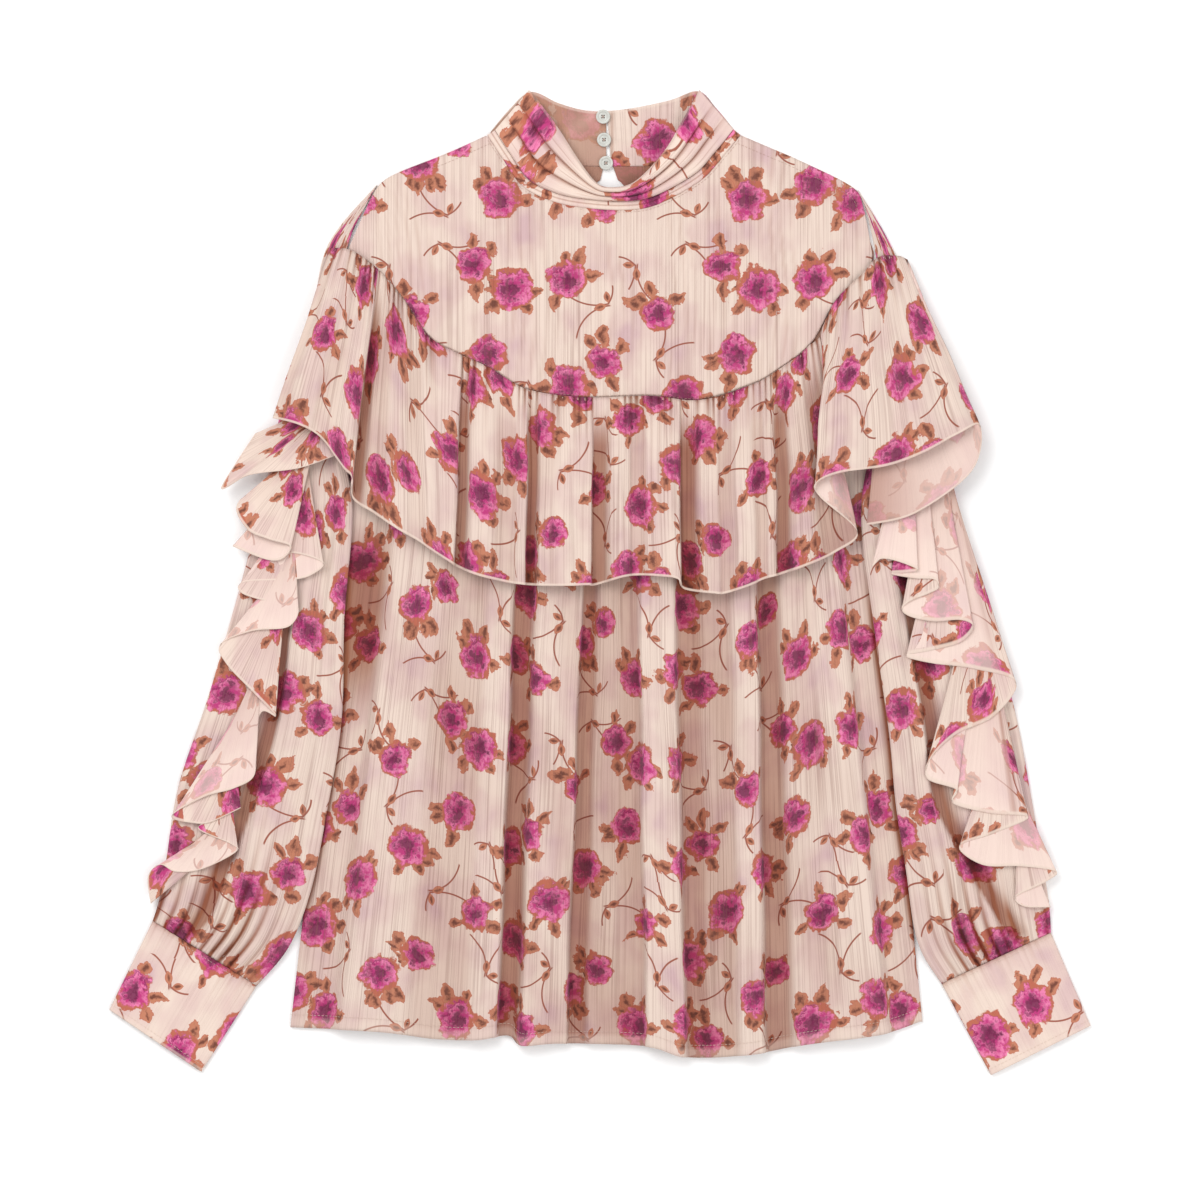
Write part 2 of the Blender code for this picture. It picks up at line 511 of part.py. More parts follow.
def add_yoke(material, collection):
    """The yoke runs from the neckline and shoulders down to the flounce seam."""
    neck = [neck_point(n / NECK_STATIONS, -SEAM_GAP) for n in range(1, NECK_STATIONS)]
    top_edge = list(YOKE_LEFT[::-1]) + neck + list(YOKE_RIGHT)
    lengths = [0.0]
    for first, second in zip(top_edge, top_edge[1:]):
        lengths.append(lengths[-1] + math.dist(first, second))
    rows = []
    for down in range(YOKE_STEPS_DOWN + 1):
        row = []
        for top, length in zip(top_edge, lengths):
            x_low = mix(YOKE_LEFT[-1][0], YOKE_RIGHT[-1][0], length / lengths[-1])
            low = (x_low, height_on(FLOUNCE_SEAM, x_low) + SEAM_GAP)
            share = down / YOKE_STEPS_DOWN
            x, y = mix_point(top, low, share)
            flat_at_seam = 1.0 - share ** YOKE_FLATNESS
            row.append((x, y, FLAT_Z + yoke_height(x, y) * flat_at_seam))
        rows.append(row)
    return add_cloth("yoke_front", rows, material, collection)


def yoke_height(x, y):
    return sum(
        wave["height"] * math.exp(-((x - wave["x"]) / wave["width"]) ** 2
                                  - ((y - wave["y"]) / wave["length"]) ** 2)
        for wave in YOKE_WAVES
    )


def body_height(place, y):
    """Height of the body's folds: they start under the flounce and grow towards the hem."""
    growth = ease((FOLDS_START_Y - y) / (FOLDS_START_Y - FOLDS_FULL_Y))
    return between_rows(BODY_FOLDS, "height", place) * mix(FLAT_FOLDS, 1.0, growth)


def add_body_front(material, collection):
    """The front body hangs in folds from the flounce seam to the hem."""
    rows = []
    for down in range(BODY_STEPS_DOWN + 1):
        row = []
        for place in places_along(BODY_FOLDS):
            x_top = line_between_rows(BODY_FOLDS, "x_top", place)
            x_hem = line_between_rows(BODY_FOLDS, "x_hem", place)
            y_top = min(height_on(FLOUNCE_SEAM, x_top) - BODY_TOP_DROP, BODY_TOP_Y)
            y = mix(y_top, height_on(HEM, x_hem), down / BODY_STEPS_DOWN)
            x = mix(x_top, x_hem, max(y / BODY_HEM_Y, STRAIGHT_ABOVE))
            row.append((x, y, FLAT_Z + body_height(place, y)))
        rows.append(row)
    return add_cloth("body_front", rows, material, collection)


def flounce_point(place, down):
    """A point of the flounce, at a place along its fold rows and a share of the way down."""
    seam_x = line_between_rows(FLOUNCE_FOLDS, "seam", place)
    drop = line_between_rows(FLOUNCE_FOLDS, "drop", place)
    edge = line_between_rows(FLOUNCE_FOLDS, "edge", place)
    seam = (seam_x, height_on(FLOUNCE_SEAM, seam_x) - FLOUNCE_SEAM_DROP - drop)
    past_left = SLEEVE_HEAD_X[0] - seam_x
    past_right = seam_x - SLEEVE_HEAD_X[1]
    at_sleeve = ease(1.0 + max(past_left, past_right) / SLEEVE_HEAD_SLOPE)
    seam_z = mix(FLOUNCE_SEAM_Z, FLOUNCE_SEAM_Z_AT_SLEEVE, at_sleeve)
    edge_z = mix(FLOUNCE_EDGE_Z, FLOUNCE_EDGE_Z_AT_SLEEVE, at_sleeve)
    x, y = mix_point(seam, edge, down)
    height = between_rows(FLOUNCE_FOLDS, "height", place)
    rise = math.sin(down * math.pi / 2) ** FLOUNCE_ROUNDNESS
    return x, y, mix(seam_z, edge_z, rise) + height * rise


def add_flounce(material, collection):
    places = places_along(FLOUNCE_FOLDS)
    rows = [[flounce_point(place, down / FLOUNCE_STEPS_DOWN) for place in places]
            for down in range(FLOUNCE_STEPS_DOWN + 1)]
    return add_cloth("flounce_front", rows, material, collection)


def sleeve_section(sections, place):
    """The section at a place along the sleeve, and how far its folds have grown there."""
    section = {column: line_between_rows(sections, column, place)
               for column in ("inner", "outer", "height", "lap", "lap_z")}
    grown = ease((place - SLEEVE_FOLDS_FROM) / SLEEVE_FOLDS_GROW)
    section["growth"] = grown * ease((len(sections) - 1 - place) / SLEEVE_FOLDS_FADE)
    return section


def sleeve_heights(section, across):
    """Heights of the middle of the sleeve's lower and upper cloth at a share of its width."""
    width = math.dist(section["inner"], section["outer"])
    beyond_lap = across * width - section["lap"] - LAP_MARGIN
    lower = mix(section["lap_z"], BACK_Z, ease(beyond_lap / LAP_SLOPE))
    fold = between_rows(SLEEVE_FOLDS, "height", place_of(SLEEVE_FOLDS, "across", across))
    bulge = max(math.sin(math.pi * across), 0.0) ** SLEEVE_ROUNDNESS * SLEEVE_FULLNESS
    upper = lower + EDGE_PLY + (section["height"] - FLAT_SLEEVE) * bulge
    return lower, max(upper + fold * section["growth"], lower + LEAST_PLY)


def sleeve_ring(section):
    """One section of a sleeve: the lower cloth outwards, then the upper cloth back."""
    lower, upper = [], []
    for station in range(SLEEVE_STATIONS + 1):
        across = station / SLEEVE_STATIONS
        x, y = mix_point(section["inner"], section["outer"], across)
        low, high = sleeve_heights(section, across)
        lower.append((x, y, low))
        upper.append((x, y, high))
    return lower + upper[::-1]


def place_of(rows, column, value):
    """The place, counted in rows, at which a rising column has a value."""
    for index, (first, second) in enumerate(zip(rows, rows[1:])):
        if value <= second[column]:
            return index + (value - first[column]) / (second[column] - first[column])
    return len(rows) - 1.0


def add_sleeve(name, sections, material, collection):
    """A sleeve is a flat tube through its sections, open at the armhole and at the cuff."""
    rings = [sleeve_ring(sleeve_section(sections, place)) for place in range(len(sections))]
    return add_cloth(name, rings, material, collection, close_rows=True)


def add_cuff(name, edges, material, collection):
    """A cuff is a flat tube between the wrist seam and its opening."""
    rings = []
    for step in range(CUFF_SECTIONS):
        share = step / (CUFF_SECTIONS - 1)
        inner = mix_point(edges[0][0], edges[1][0], share)
        outer = mix_point(edges[0][1], edges[1][1], share)
        lower = [(*mix_point(inner, outer, n / CUFF_STATIONS), BACK_Z)
                 for n in range(CUFF_STATIONS)]
        upper = [(*mix_point(outer, inner, n / CUFF_STATIONS), CUFF_HEIGHT)
                 for n in range(CUFF_STATIONS)]
        lower[0] = (*inner, (BACK_Z + CUFF_HEIGHT) / 2)
        upper[0] = (*outer, (BACK_Z + CUFF_HEIGHT) / 2)
        rings.append(lower + upper)
    return add_cloth(name, rings, material, collection, close_rows=True)


def add_ruffle(name, seam_line, turns, material, collection):
    """A cascade ruffle: a strip from its seam along the sleeve to its turning free edge."""
    seam_length = sum(math.dist(a, b) for a, b in zip(seam_line, seam_line[1:]))
    rows = []
    for out in range(RUFFLE_STEPS_OUT + 1):
        share = out / RUFFLE_STEPS_OUT
        row = []
        for turn in turns:
            down = turn["along"] / seam_length
            x, y = mix_point(point_along(seam_line, down), turn["edge"], share)
            row.append((x, y, mix(mix(*RUFFLE_SEAM_Z, down), turn["z"], share ** RUFFLE_SPRING)))
        rows.append(row)
    return add_cloth(name, rows, material, collection)


def neck_point(outline_share, inward):
    """A point of the neckline seam, moved by a distance into the neck opening."""
    x, y = point_along(NECK_SEAM, outline_share)
    before = point_along(NECK_SEAM, max(outline_share - TANGENT_STEP, 0.0))
    after = point_along(NECK_SEAM, min(outline_share + TANGENT_STEP, 1.0))
    run = Vector((after[0] - before[0], after[1] - before[1])).normalized()
    return x - run.y * inward, y + run.x * inward


def add_neck_band(material, collection):
    rows = []
    for inward in (SEAM_GAP, BAND_WIDTH):
        rows.append([(*neck_point(n / NECK_STATIONS, inward), FLAT_Z)
                     for n in range(NECK_STATIONS + 1)])
    return add_cloth("neck_band", rows, material, collection)


def add_front_collar(material, collection):
    """The front collar drapes from the band to its rim in pleats that meet low in the middle."""
    rows = []
    for up in range(COLLAR_STEPS_UP + 1):
        share_up = up / COLLAR_STEPS_UP
        row = []
        for along in range(NECK_STATIONS + 1):
            share = along / NECK_STATIONS
            low = neck_point(share, BAND_WIDTH + SEAM_GAP)
            high = point_along(RIM, share)
            x, y = mix_point(low, high, share_up)
            inside = ease(min(share, 1.0 - share) / COLLAR_FLAT_END)
            pleat = abs(math.sin(math.pi * COLLAR_PLEATS * share_up))
            z = COLLAR_FOOT_Z + inside * (COLLAR_RISE * share_up + PLEAT_HEIGHT * pleat)
            row.append((x, y, z))
        rows.append(row)
    return add_cloth("collar_front", rows, material, collection)


def add_button(name, centre, material, collection):
    """A turned four-hole button with a raised rim."""
    dish = BUTTON_RIM_HEIGHT - BUTTON_DISH_DEPTH
    outline = ((0.0, dish),
               (BUTTON_DISH_RADIUS, dish),
               (BUTTON_DISH_RADIUS + BUTTON_RIM_SLOPE, BUTTON_RIM_HEIGHT),
               (BUTTON_RADIUS - BUTTON_ROUNDING, BUTTON_RIM_HEIGHT),
               (BUTTON_RADIUS, BUTTON_RIM_HEIGHT - BUTTON_ROUNDING),
               (BUTTON_RADIUS, BUTTON_ROUNDING),
               (BUTTON_RADIUS - BUTTON_ROUNDING, 0.0),
               (0.0, 0.0))
    mesh = bpy.data.meshes.new(name)
    points = [Vector((r, 0.0, z)) * MM for r, z in outline]
    mesh.from_pydata(points, [(n, n + 1) for n in range(len(outline) - 1)], [])
    button = bpy.data.objects.new(name, mesh)
    button.location = Vector((*centre, BUTTON_SEAT_Z)) * MM
    collection.objects.link(button)
    turn = button.modifiers.new("Turn", "SCREW")
    turn.steps = BUTTON_TURN_STEPS
    turn.render_steps = BUTTON_TURN_STEPS
    turn.use_merge_vertices = True
    turn.merge_threshold = AXIS_MERGE
    mesh.materials.append(material)
    return button


def add_hole_cutter(button, collection):
    """The thread holes, as one cutter of separate pins."""
    mesh = bpy.data.meshes.new(button.name + "_holes")
    pins = bmesh.new()
    for step in range(BUTTON_HOLES):
        turn = math.tau * (step + 0.5) / BUTTON_HOLES
        made = bmesh.ops.create_cone(
            pins, cap_ends=True, segments=BUTTON_HOLE_SIDES,
            radius1=BUTTON_HOLE_RADIUS * MM, radius2=BUTTON_HOLE_RADIUS * MM,
            depth=3 * BUTTON_RIM_HEIGHT * MM,
        )
        place = Vector((math.cos(turn), math.sin(turn), 0.0)) * BUTTON_HOLE_OFFSET * MM
        bmesh.ops.translate(pins, verts=made["verts"], vec=place)
    pins.to_mesh(mesh)
    pins.free()
    cutter = bpy.data.objects.new(mesh.name, mesh)
    cutter.location = button.location
    cutter.hide_render = True
    cutter.display_type = "WIRE"
    collection.objects.link(cutter)
    cut = button.modifiers.new("Thread holes", "BOOLEAN")
    cut.object = cutter
    cut.operation = "DIFFERENCE"


def main():
    clear_scene()
    blouse = new_collection("ruffled_high_neck_blouse")
    cutters = new_collection("cutters")
    cloth = new_material("floral chiffon", CHIFFON)
    inside = new_material("chiffon, inner face", CHIFFON_INSIDE)
    ruffle = new_material("ruffle chiffon", RUFFLE_CHIFFON)
    pearl = new_material("pearly button", PEARL)

    add_flat_cloth("back_body", back_outline(), inside, blouse)
    add_flat_cloth("collar_back_left", BACK_COLLAR_LEFT, inside, blouse)
    add_flat_cloth("collar_back_right", BACK_COLLAR_RIGHT, cloth, blouse)
    add_neck_band(cloth, blouse)
    add_front_collar(cloth, blouse)
    add_yoke(cloth, blouse)
    add_body_front(cloth, blouse)
    add_flounce(cloth, blouse)
    add_sleeve("sleeve_left", SLEEVE_LEFT, cloth, blouse)
    add_sleeve("sleeve_right", SLEEVE_RIGHT, cloth, blouse)
    add_ruffle("sleeve_ruffle_left", RUFFLE_SEAM_LEFT, RUFFLE_LEFT, ruffle, blouse)
    add_ruffle("sleeve_ruffle_right", RUFFLE_SEAM_RIGHT, RUFFLE_RIGHT, ruffle, blouse)
    add_cuff("cuff_left", CUFF_LEFT, cloth, blouse)
    add_cuff("cuff_right", CUFF_RIGHT, cloth, blouse)
    for number, centre in enumerate(BUTTON_CENTRES, start=1):
        button = add_button(f"button_{number}", centre, pearl, blouse)
        add_hole_cutter(button, cutters)


main()
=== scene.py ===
"""A long-sleeve ruffled high-neck blouse of printed crinkle chiffon, laid flat on its back.

Every cloth piece is a thin closed shell over its solid's form, made from the same tables: a row is
one crest or valley of a fold, one section of a sleeve or one point of a ruffle's free edge. Tables
and shapes are in millimetres. X runs to the right of the laid blouse, Y from its hem to its neck
and Z up from the surface it lies on.
"""

import math

import bmesh
import bpy
import numpy as np
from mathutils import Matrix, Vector


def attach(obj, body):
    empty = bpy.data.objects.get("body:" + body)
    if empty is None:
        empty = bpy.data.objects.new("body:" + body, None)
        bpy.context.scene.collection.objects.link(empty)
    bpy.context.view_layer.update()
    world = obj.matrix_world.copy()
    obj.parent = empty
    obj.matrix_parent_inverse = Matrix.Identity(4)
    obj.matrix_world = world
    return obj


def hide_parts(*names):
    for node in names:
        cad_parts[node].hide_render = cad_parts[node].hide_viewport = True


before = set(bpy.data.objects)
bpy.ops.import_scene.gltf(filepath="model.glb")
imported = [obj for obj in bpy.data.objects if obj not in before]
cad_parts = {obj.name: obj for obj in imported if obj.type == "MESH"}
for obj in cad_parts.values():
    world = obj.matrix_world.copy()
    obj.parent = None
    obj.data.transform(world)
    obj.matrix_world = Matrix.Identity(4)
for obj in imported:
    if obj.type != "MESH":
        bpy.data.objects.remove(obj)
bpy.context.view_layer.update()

bl_info = {
    "name": "Ruffled high-neck blouse",
    "version": (1, 0, 0),
    "blender": (4, 5, 0),
    "location": "3D View > Sidebar > Blouse",
    "description": "Builds a laid blouse of printed crinkle chiffon, piece by piece",
    "category": "Object",
}

MM = 0.001


def table(names, *rows):
    """A table's rows, read by the names of its columns."""
    return [dict(zip(names.split(), row)) for row in rows]


# --- Pattern pieces --------------------------------------------------------------------------

# Flounce seam, neckline seam and hem, from the laid blouse's left to its right: (x, y)
FLOUNCE_SEAM = (
    (-196, 240), (-180, 239), (-162, 227), (-143, 206), (-123, 177), (-103, 165), (-79, 154),
    (-53, 139), (-12, 133), (36, 134), (72, 131), (109, 142), (127, 152), (151, 171), (169, 202),
    (189, 222), (201, 234), (221, 234),
)
NECK_SEAM = (
    (-81, 322), (-70, 305), (-56, 285.5), (-36, 275), (-14, 270), (17, 268), (41, 272), (72, 289),
    (88, 306), (101, 322),
)
HEM = (
    (-226, -320), (-160, -323), (-121, -328), (-90, -329), (-66, -326), (-56, -333), (-29, -331.5),
    (34, -333.5), (62, -341.5), (108, -339.5), (150, -332), (203, -325), (232, -316),
)
RIM = (  # free top edge of the front collar
    (-51, 354.5), (-40, 340), (-28, 323), (-16, 304), (-4, 288), (6.5, 283.5), (25, 287.5),
    (46, 309), (59, 331), (71.5, 354.5),
)
BAND_WIDTH = 6.5
SEAM_GAP = 0.05
FLAT_Z = 2.2  # middle of a cloth that lies on the back panel
BACK_Z = 0.6  # middle of a cloth that lies on the surface

BACK_OUTLINE = (
    (-79.5, 321), (-111, 307), (-144, 294), (-157, 286), (-163, 276), (-181, 238), (-180, 130),
    (-174, 50), (-182, -20), (-195, -110), (-208, -210), (-222, -316), (-120, -323), (0, -328),
    (110, -333), (200, -320), (229, -312), (217, -210), (203, -110), (191, -20), (185, 50),
    (193, 130), (197, 238), (184, 276), (180, 283), (144, 301), (99, 321), (81, 300.4),
    (17, 299.4), (9.5, 299.4),
)
BACK_NECK_LEFT = ((2.5, 299.4), (-60, 300.4))
KEYHOLE_CENTRE = (6.5, 279)
KEYHOLE_RADIUS = 12.5
KEYHOLE_FROM = 60
KEYHOLE_TURN = 300

# Back collar halves: top edge and bottom edge, from left to right
BACK_COLLAR_LEFT = (
    ((-79, 324), (-66.5, 339), (-50, 353), (-30, 345), (-12, 340), (4.4, 338.8)),
    ((-76, 321), (-68, 311), (-60, 300.6), (-35, 300.2), (-12, 299.8), (4.6, 299.5)),
)
BACK_COLLAR_RIGHT = (
    ((5, 339.2), (24, 341.5), (50, 347), (71, 353.5), (84, 341), (98, 324)),
    ((8.2, 299.5), (24, 299.6), (46, 299.9), (68, 300.3), (80, 301), (95, 321)),
)

YOKE_LEFT = (
    (-81, 322), (-111, 308.5), (-144, 295.5), (-157.5, 287.5), (-165, 276), (-180.5, 241.5),
)
YOKE_RIGHT = ((101, 322), (122, 313), (144, 303.5), (181, 285), (189, 272), (196, 236))
YOKE_WAVES = table(  # soft swells: place, half size, height
    "x y width length height",
    (-150, 214, 26, 60, 2), (-118, 190, 22, 34, 1.2), (150, 200, 24, 52, 2.4),
    (40, 160, 70, 30, 0.8), (-40, 250, 60, 24, 0.7)
)

# Body folds: x where the line leaves the flounce and at the hem, and its height
BODY_FOLDS = table(
    "x_top x_hem height",
    (-186, -224, 0), (-171, -213, 0.3), (-135, -170, 9), (-93, -112, 5.5), (-67, -79, 9),
    (-56, -69, 0.6), (-36, -48, 8), (-16, -29, 7), (-9, -20, 1), (6, 0, 4.5), (22, 27, 3.6),
    (34, 40, 11), (47, 55, 10), (60, 68, 2), (82, 88, 4), (108, 112, 9), (117, 126, 1.4),
    (140, 152, 7), (164, 196, 9), (184, 222, 0.2), (200, 233.5, 0)
)

# Flounce folds: x on its seam, the free edge's x and y, and the height there over the cloth
# below. drop moves a layer's top down from the seam where the flounce doubles under itself.
FLOUNCE_FOLDS = table(
    "seam edge height drop",
    (-194, (-235, 118), 2), (-184, (-216, 113), 9), (-176, (-200, 103.5), 6.5),
    (-165, (-184, 82), 10), (-161.5, (-178, 75), 9.5), (-158.5, (-177.5, 60), 0.5),
    (-152, (-163, 50), 5), (-145, (-145, 38), 8), (-135, (-131, 30), 6), (-122, (-118, 21), 9),
    (-101, (-107, 14), 9), (-97, (-102.5, 11), 0.8), (-87, (-88, 5), 8), (-64, (-67, 0), 5),
    (-54.5, (-56.5, -1.5), 8.5), (-49.5, (-51, -2), 0.4), (-38, (-39, -2.5), 6.5),
    (-22, (-22, -2.5), 8.5), (-8, (-9, -2), 8), (-2.5, (-3, -2), 0.8), (15, (16, 3.5), 8),
    (27, (27, 5), 5), (38, (41, 4.5), 8.5), (55, (55.5, 2.5), 8.5), (60, (61, -5), 0.4),
    (80, (82, -8), 7), (88, (90, -8), 4.5), (102, (106, -3), 8), (113, (117, 2), 4.5),
    (121, (124, 4), 6.5), (127, (131, 6), 0.8), (139, (147, 11.5), 6.5), (151, (169, 21.5), 2.5),
    (158, (185, 36), 1.5, 6), (160, (158, 61), 7.5, 3), (168, (155.5, 71), 12),
    (178, (172, 78.5), 13), (196, (206, 83.5), 8.5), (204, (232, 93), 12), (216, (256, 106), 9),
    (221, (273, 112), 4, 2), (219, (267, 80), 2, 46), (212, (226, 49.5), 3, 60),
    (205, (191, 41), 2, 70)
)

# Sleeves: a row for each section, the inner and outer edge of the flat tube and the height of
# its upper cloth. lap is how far the inner edge lies over the body's side, at lap_z.
SLEEVE_LEFT = table(
    "inner outer height lap lap_z",
    ((-166.4, 276.2), (-160.5, 286), 3.6, 0, 0.8), ((-182, 241.5), (-195, 244), 3.8, 0, 0.8),
    ((-187, 190), (-207, 196), 4.2, 0, 0.8), ((-186, 128), (-228, 128), 4.6, 0, 0.8),
    ((-184, 92), (-236, 92), 6, 2, 4.6), ((-178, 51), (-243, 58), 6.8, 6, 4.6),
    ((-184, -25), (-258, 0), 8, 8, 4.6), ((-186, -99), (-281, -80), 8, 14, 4.6),
    ((-197, -167), (-303, -146), 7.6, 11, 4.6), ((-208, -221), (-312, -200), 6.4, 6, 4.6),
    ((-224, -262), (-317, -228), 5.4, 0, 2.6), ((-247.2, -290), (-321.7, -243.5), 4.2, 0, 1.2)
)
SLEEVE_RIGHT = table(
    "inner outer height lap lap_z",
    ((190.6, 272.5), (185.5, 282.5), 3.6, 0, 0.8), ((198.2, 238.5), (211, 238.5), 3.8, 0, 0.8),
    ((204, 190), (225, 192), 4.2, 0, 0.8), ((205, 128), (243, 126), 4.6, 0, 0.8),
    ((194, 92), (249, 92), 6, 9, 4.6), ((188, 45), (255, 60), 6.4, 16, 4.6),
    ((197, -30), (278, -15), 8, 12, 4.6), ((208, -108), (299, -95), 8, 8, 4.6),
    ((213, -160), (309, -148), 7.6, 7, 4.6), ((220, -205), (318, -200), 6.4, 4, 4.6),
    ((228.5, -258), (323, -232), 5.4, 2, 4.2), ((245.8, -288.5), (324.3, -252), 4.2, 0, 1.2)
)
# Each sleeve's deep fold: where its front edge lies at each section, as a share of the width
SLEEVE_TUCK_LEFT = (0.6, 0.6, 0.6, 0.6, 0.58, 0.55, 0.49, 0.45, 0.47, 0.565, 0.6, 0.65)
SLEEVE_TUCK_RIGHT = (0.3, 0.3, 0.3, 0.3, 0.3, 0.28, 0.27, 0.27, 0.27, 0.43, 0.6, 0.68)
SLEEVE_FOLDS = table(  # along the sleeve: share of its width from the inner edge, and height
    "across height",
    (0, 0), (0.14, 2), (0.36, 2.6), (0.52, -1.2), (0.72, 2.2), (1, 0)
)

# Cuffs, as wrist and opening edges: inner and outer corners
CUFF_LEFT = (((-247.5, -290.5), (-322, -244)), ((-287, -352), (-353, -307.5)))
CUFF_RIGHT = (((246, -289), (324.5, -252.5)), ((281.5, -354.5), (353, -319)))

# Sleeve ruffles: the seam runs from under the flounce down the sleeve: (x, y)
RUFFLE_SEAM_LEFT = (
    (-194, 131), (-206, 97), (-218, 50), (-224, 0), (-232, -30), (-248, -62), (-258, -110),
    (-266, -160), (-278, -178), (-290, -204),
)
RUFFLE_SEAM_RIGHT = (
    (216, 112), (252, 80), (262, 24), (273, -26), (284, -62), (289, -112), (297, -148),
    (307, -192),
)
# A row for each point of the cascade's free edge, which runs back and forth, with its height and
# how far along the seam it hangs from
RUFFLE_LEFT = table(
    "along edge z",
    (0, (-248, 107), 8.5), (5, (-261, 87), 9), (10, (-272, 67), 12), (13, (-252, 77), 14),
    (16, (-216, 82), 15.5), (19, (-190, 91), 16), (22, (-216, 81), 12), (25, (-259, 59), 9.5),
    (28, (-254, 39), 14), (31, (-238, 31), 16), (34, (-222.5, 26), 16.5), (37, (-228, 17), 14),
    (40, (-240, 16.5), 12), (43, (-264, 26), 9.5), (46, (-243, 19), 9.5), (49, (-220, 21), 12),
    (52, (-199, 14), 13.5), (57, (-206, 6), 12.5), (66, (-220, 2), 12), (77, (-256, 0), 9.5),
    (86, (-257, -8), 10), (93, (-234, -15), 12), (98, (-217, -19), 13), (102, (-224, -32), 14),
    (107, (-250, -35), 12.5), (117, (-273, -45), 9.5), (128, (-268, -59), 11),
    (136, (-250, -78), 13), (143, (-233, -96), 14), (162, (-243, -93), 11.5),
    (180, (-249, -113), 11.5), (194, (-248, -138), 13), (199, (-263, -148), 12),
    (205, (-284, -154), 11), (224, (-308, -168), 8.5), (248, (-292, -173), 9.5),
    (266, (-279, -172), 10.5), (274, (-258, -162), 12), (280, (-274, -170), 10.5),
    (286, (-289, -177), 9.5), (293, (-265, -188), 11), (299, (-262, -194), 11),
    (305, (-286, -206), 9.5), (312, (-305, -208), 8.5), (320, (-316, -203), 8),
    (332, (-325, -211), 7.5), (350, (-323, -231), 7.5)
)
RUFFLE_RIGHT = table(
    "along edge z",
    (0, (220, 56), 13.6), (2.5, (196, 13), 14.6), (5, (202, 17), 15), (7.5, (214, 15), 16),
    (10, (228, 9), 16.5), (12.5, (220, 7), 14), (15, (209, 6), 12), (17.5, (225, 3), 14),
    (20, (240, 2), 15), (22.5, (243, -4), 15), (25, (236, -8), 13.8), (27.5, (222, -14), 12.5),
    (30, (217, -20), 11), (32.5, (224, -25), 12), (35, (240, -28), 13.5), (37.5, (259, -27), 14),
    (40.5, (268, -32), 13.5), (43.5, (259, -43), 12.5), (46.5, (238, -49), 11.5),
    (49.5, (220, -53), 10.5), (53, (238, -58), 11.5), (58, (268, -62), 11.5), (68, (299, -72), 10),
    (105, (283, -96), 11), (122, (256, -109), 11.5), (132, (238, -126), 11),
    (142, (235, -141), 10.5), (154, (256, -149), 11.5), (166, (254, -159), 10.5),
    (177, (281, -166), 11), (194, (308, -169), 9.5), (218, (281, -181), 10.5),
    (232, (258, -190), 10), (242, (275, -203), 10.5), (252, (302, -204), 10),
    (264, (328, -208), 8.5), (279, (319, -216), 8.5), (296, (299, -226), 8.5),
    (311, (305, -233), 8), (325, (324, -233.5), 7.5)
)
# Stretches of its rows, at two turns, where the cascade lies with its printed face up
RUFFLE_RIGHT_FACES = ((21.45, 22.6), (29.5, 30.6))


# --- Shapes ----------------------------------------------------------------------------------


def ease(share):
    """A smooth step from 0 to 1."""
    share = np.clip(share, 0, 1)
    return share * share * (3 - 2 * share)


def mix(first, second, share):
    """A value at a share of the way from the first to the second."""
    return first + (second - first) * share


def even(count):
    """Even shares from 0 to 1."""
    return np.linspace(0, 1, count)


def arch(share):
    """A smooth arch that stands 1 high halfway between 0 and 1."""
    return np.sin(np.pi * share)


def bell(value, centre, width):
    """A smooth bump that is 1 at its centre and fades out over its width on both sides."""
    return np.exp(-((value - centre) / width) ** 2)


def column(rows, name):
    """A table's column; a row that leaves it out has 0 there."""
    return np.array([row.get(name, 0) for row in rows], dtype=float)


def places_along(rows, fineness):
    """Places from the first of some rows to the last, with this many steps from row to row."""
    last = len(rows) - 1
    return np.linspace(0, last, last * fineness + 1)


def between(values, place, way="straight"):
    """Values at places between rows: straight, level at each row, crisp, or a smooth curve."""
    values = np.asarray(values, dtype=float)
    place = np.clip(place, 0, len(values) - 1)
    row = np.minimum(place.astype(int), len(values) - 2)
    share = place - row
    if values.ndim > 1:
        share = share[..., None]
    first, second = values[row], values[row + 1]
    if way == "straight":
        return mix(first, second, share)
    if way == "level":
        return mix(first, second, ease(share))
    if way == "crisp":
        return mix(first, second, ease(ease(ease(ease(share)))))
    before = values[np.maximum(row - 1, 0)]
    after = values[np.minimum(row + 2, len(values) - 1)]
    return first + 0.5 * share * (second - before + share * (
        2 * before - 5 * first + 4 * second - after
        + share * (3 * (first - second) + after - before)))


def read(rows, name, place, way="straight"):
    """A table's column at places between its rows."""
    return between(column(rows, name), place, way)


def height_on(outline, x):
    """The y of an outline at x."""
    points = np.array(outline)
    return np.interp(x, points[:, 0], points[:, 1])


def lengths_along(points):
    """The length of a line of points up to each of them."""
    points = np.asarray(points, dtype=float)
    steps = np.linalg.norm(np.diff(points, axis=0), axis=1)
    return np.concatenate(([0], np.cumsum(steps)))


def at_share(outline, share, smooth=12):
    """Points at shares of an outline's length, on a smooth curve through its points."""
    outline = np.asarray(outline, dtype=float)
    if smooth:
        outline = between(outline, places_along(outline, smooth), "curve")
    lengths = lengths_along(outline)
    wanted = np.asarray(share) * lengths[-1]
    return np.stack([np.interp(wanted, lengths, outline[:, axis]) for axis in range(2)], axis=-1)


def ripple(along, pitch, seed, waves=5):
    """Uneven soft waves between -1 and 1, about a pitch apart."""
    draw = np.random.default_rng(seed)
    total = np.zeros_like(along, dtype=float)
    for _ in range(waves):
        turns = draw.uniform(0.7, 1.4) / pitch
        total = total + np.sin(math.tau * (along * turns + draw.uniform()))
    return total / waves ** 0.5 / 1.3


def down_to_hem(steps, length, hem=1.6):
    """Shares of the way down a cloth, close together at its hem."""
    body = np.linspace(0, 1 - 2.4 * hem / length, steps)
    return np.concatenate((body, 1 - np.array([1.4, 0.9, 0.4, 0]) * hem / length))


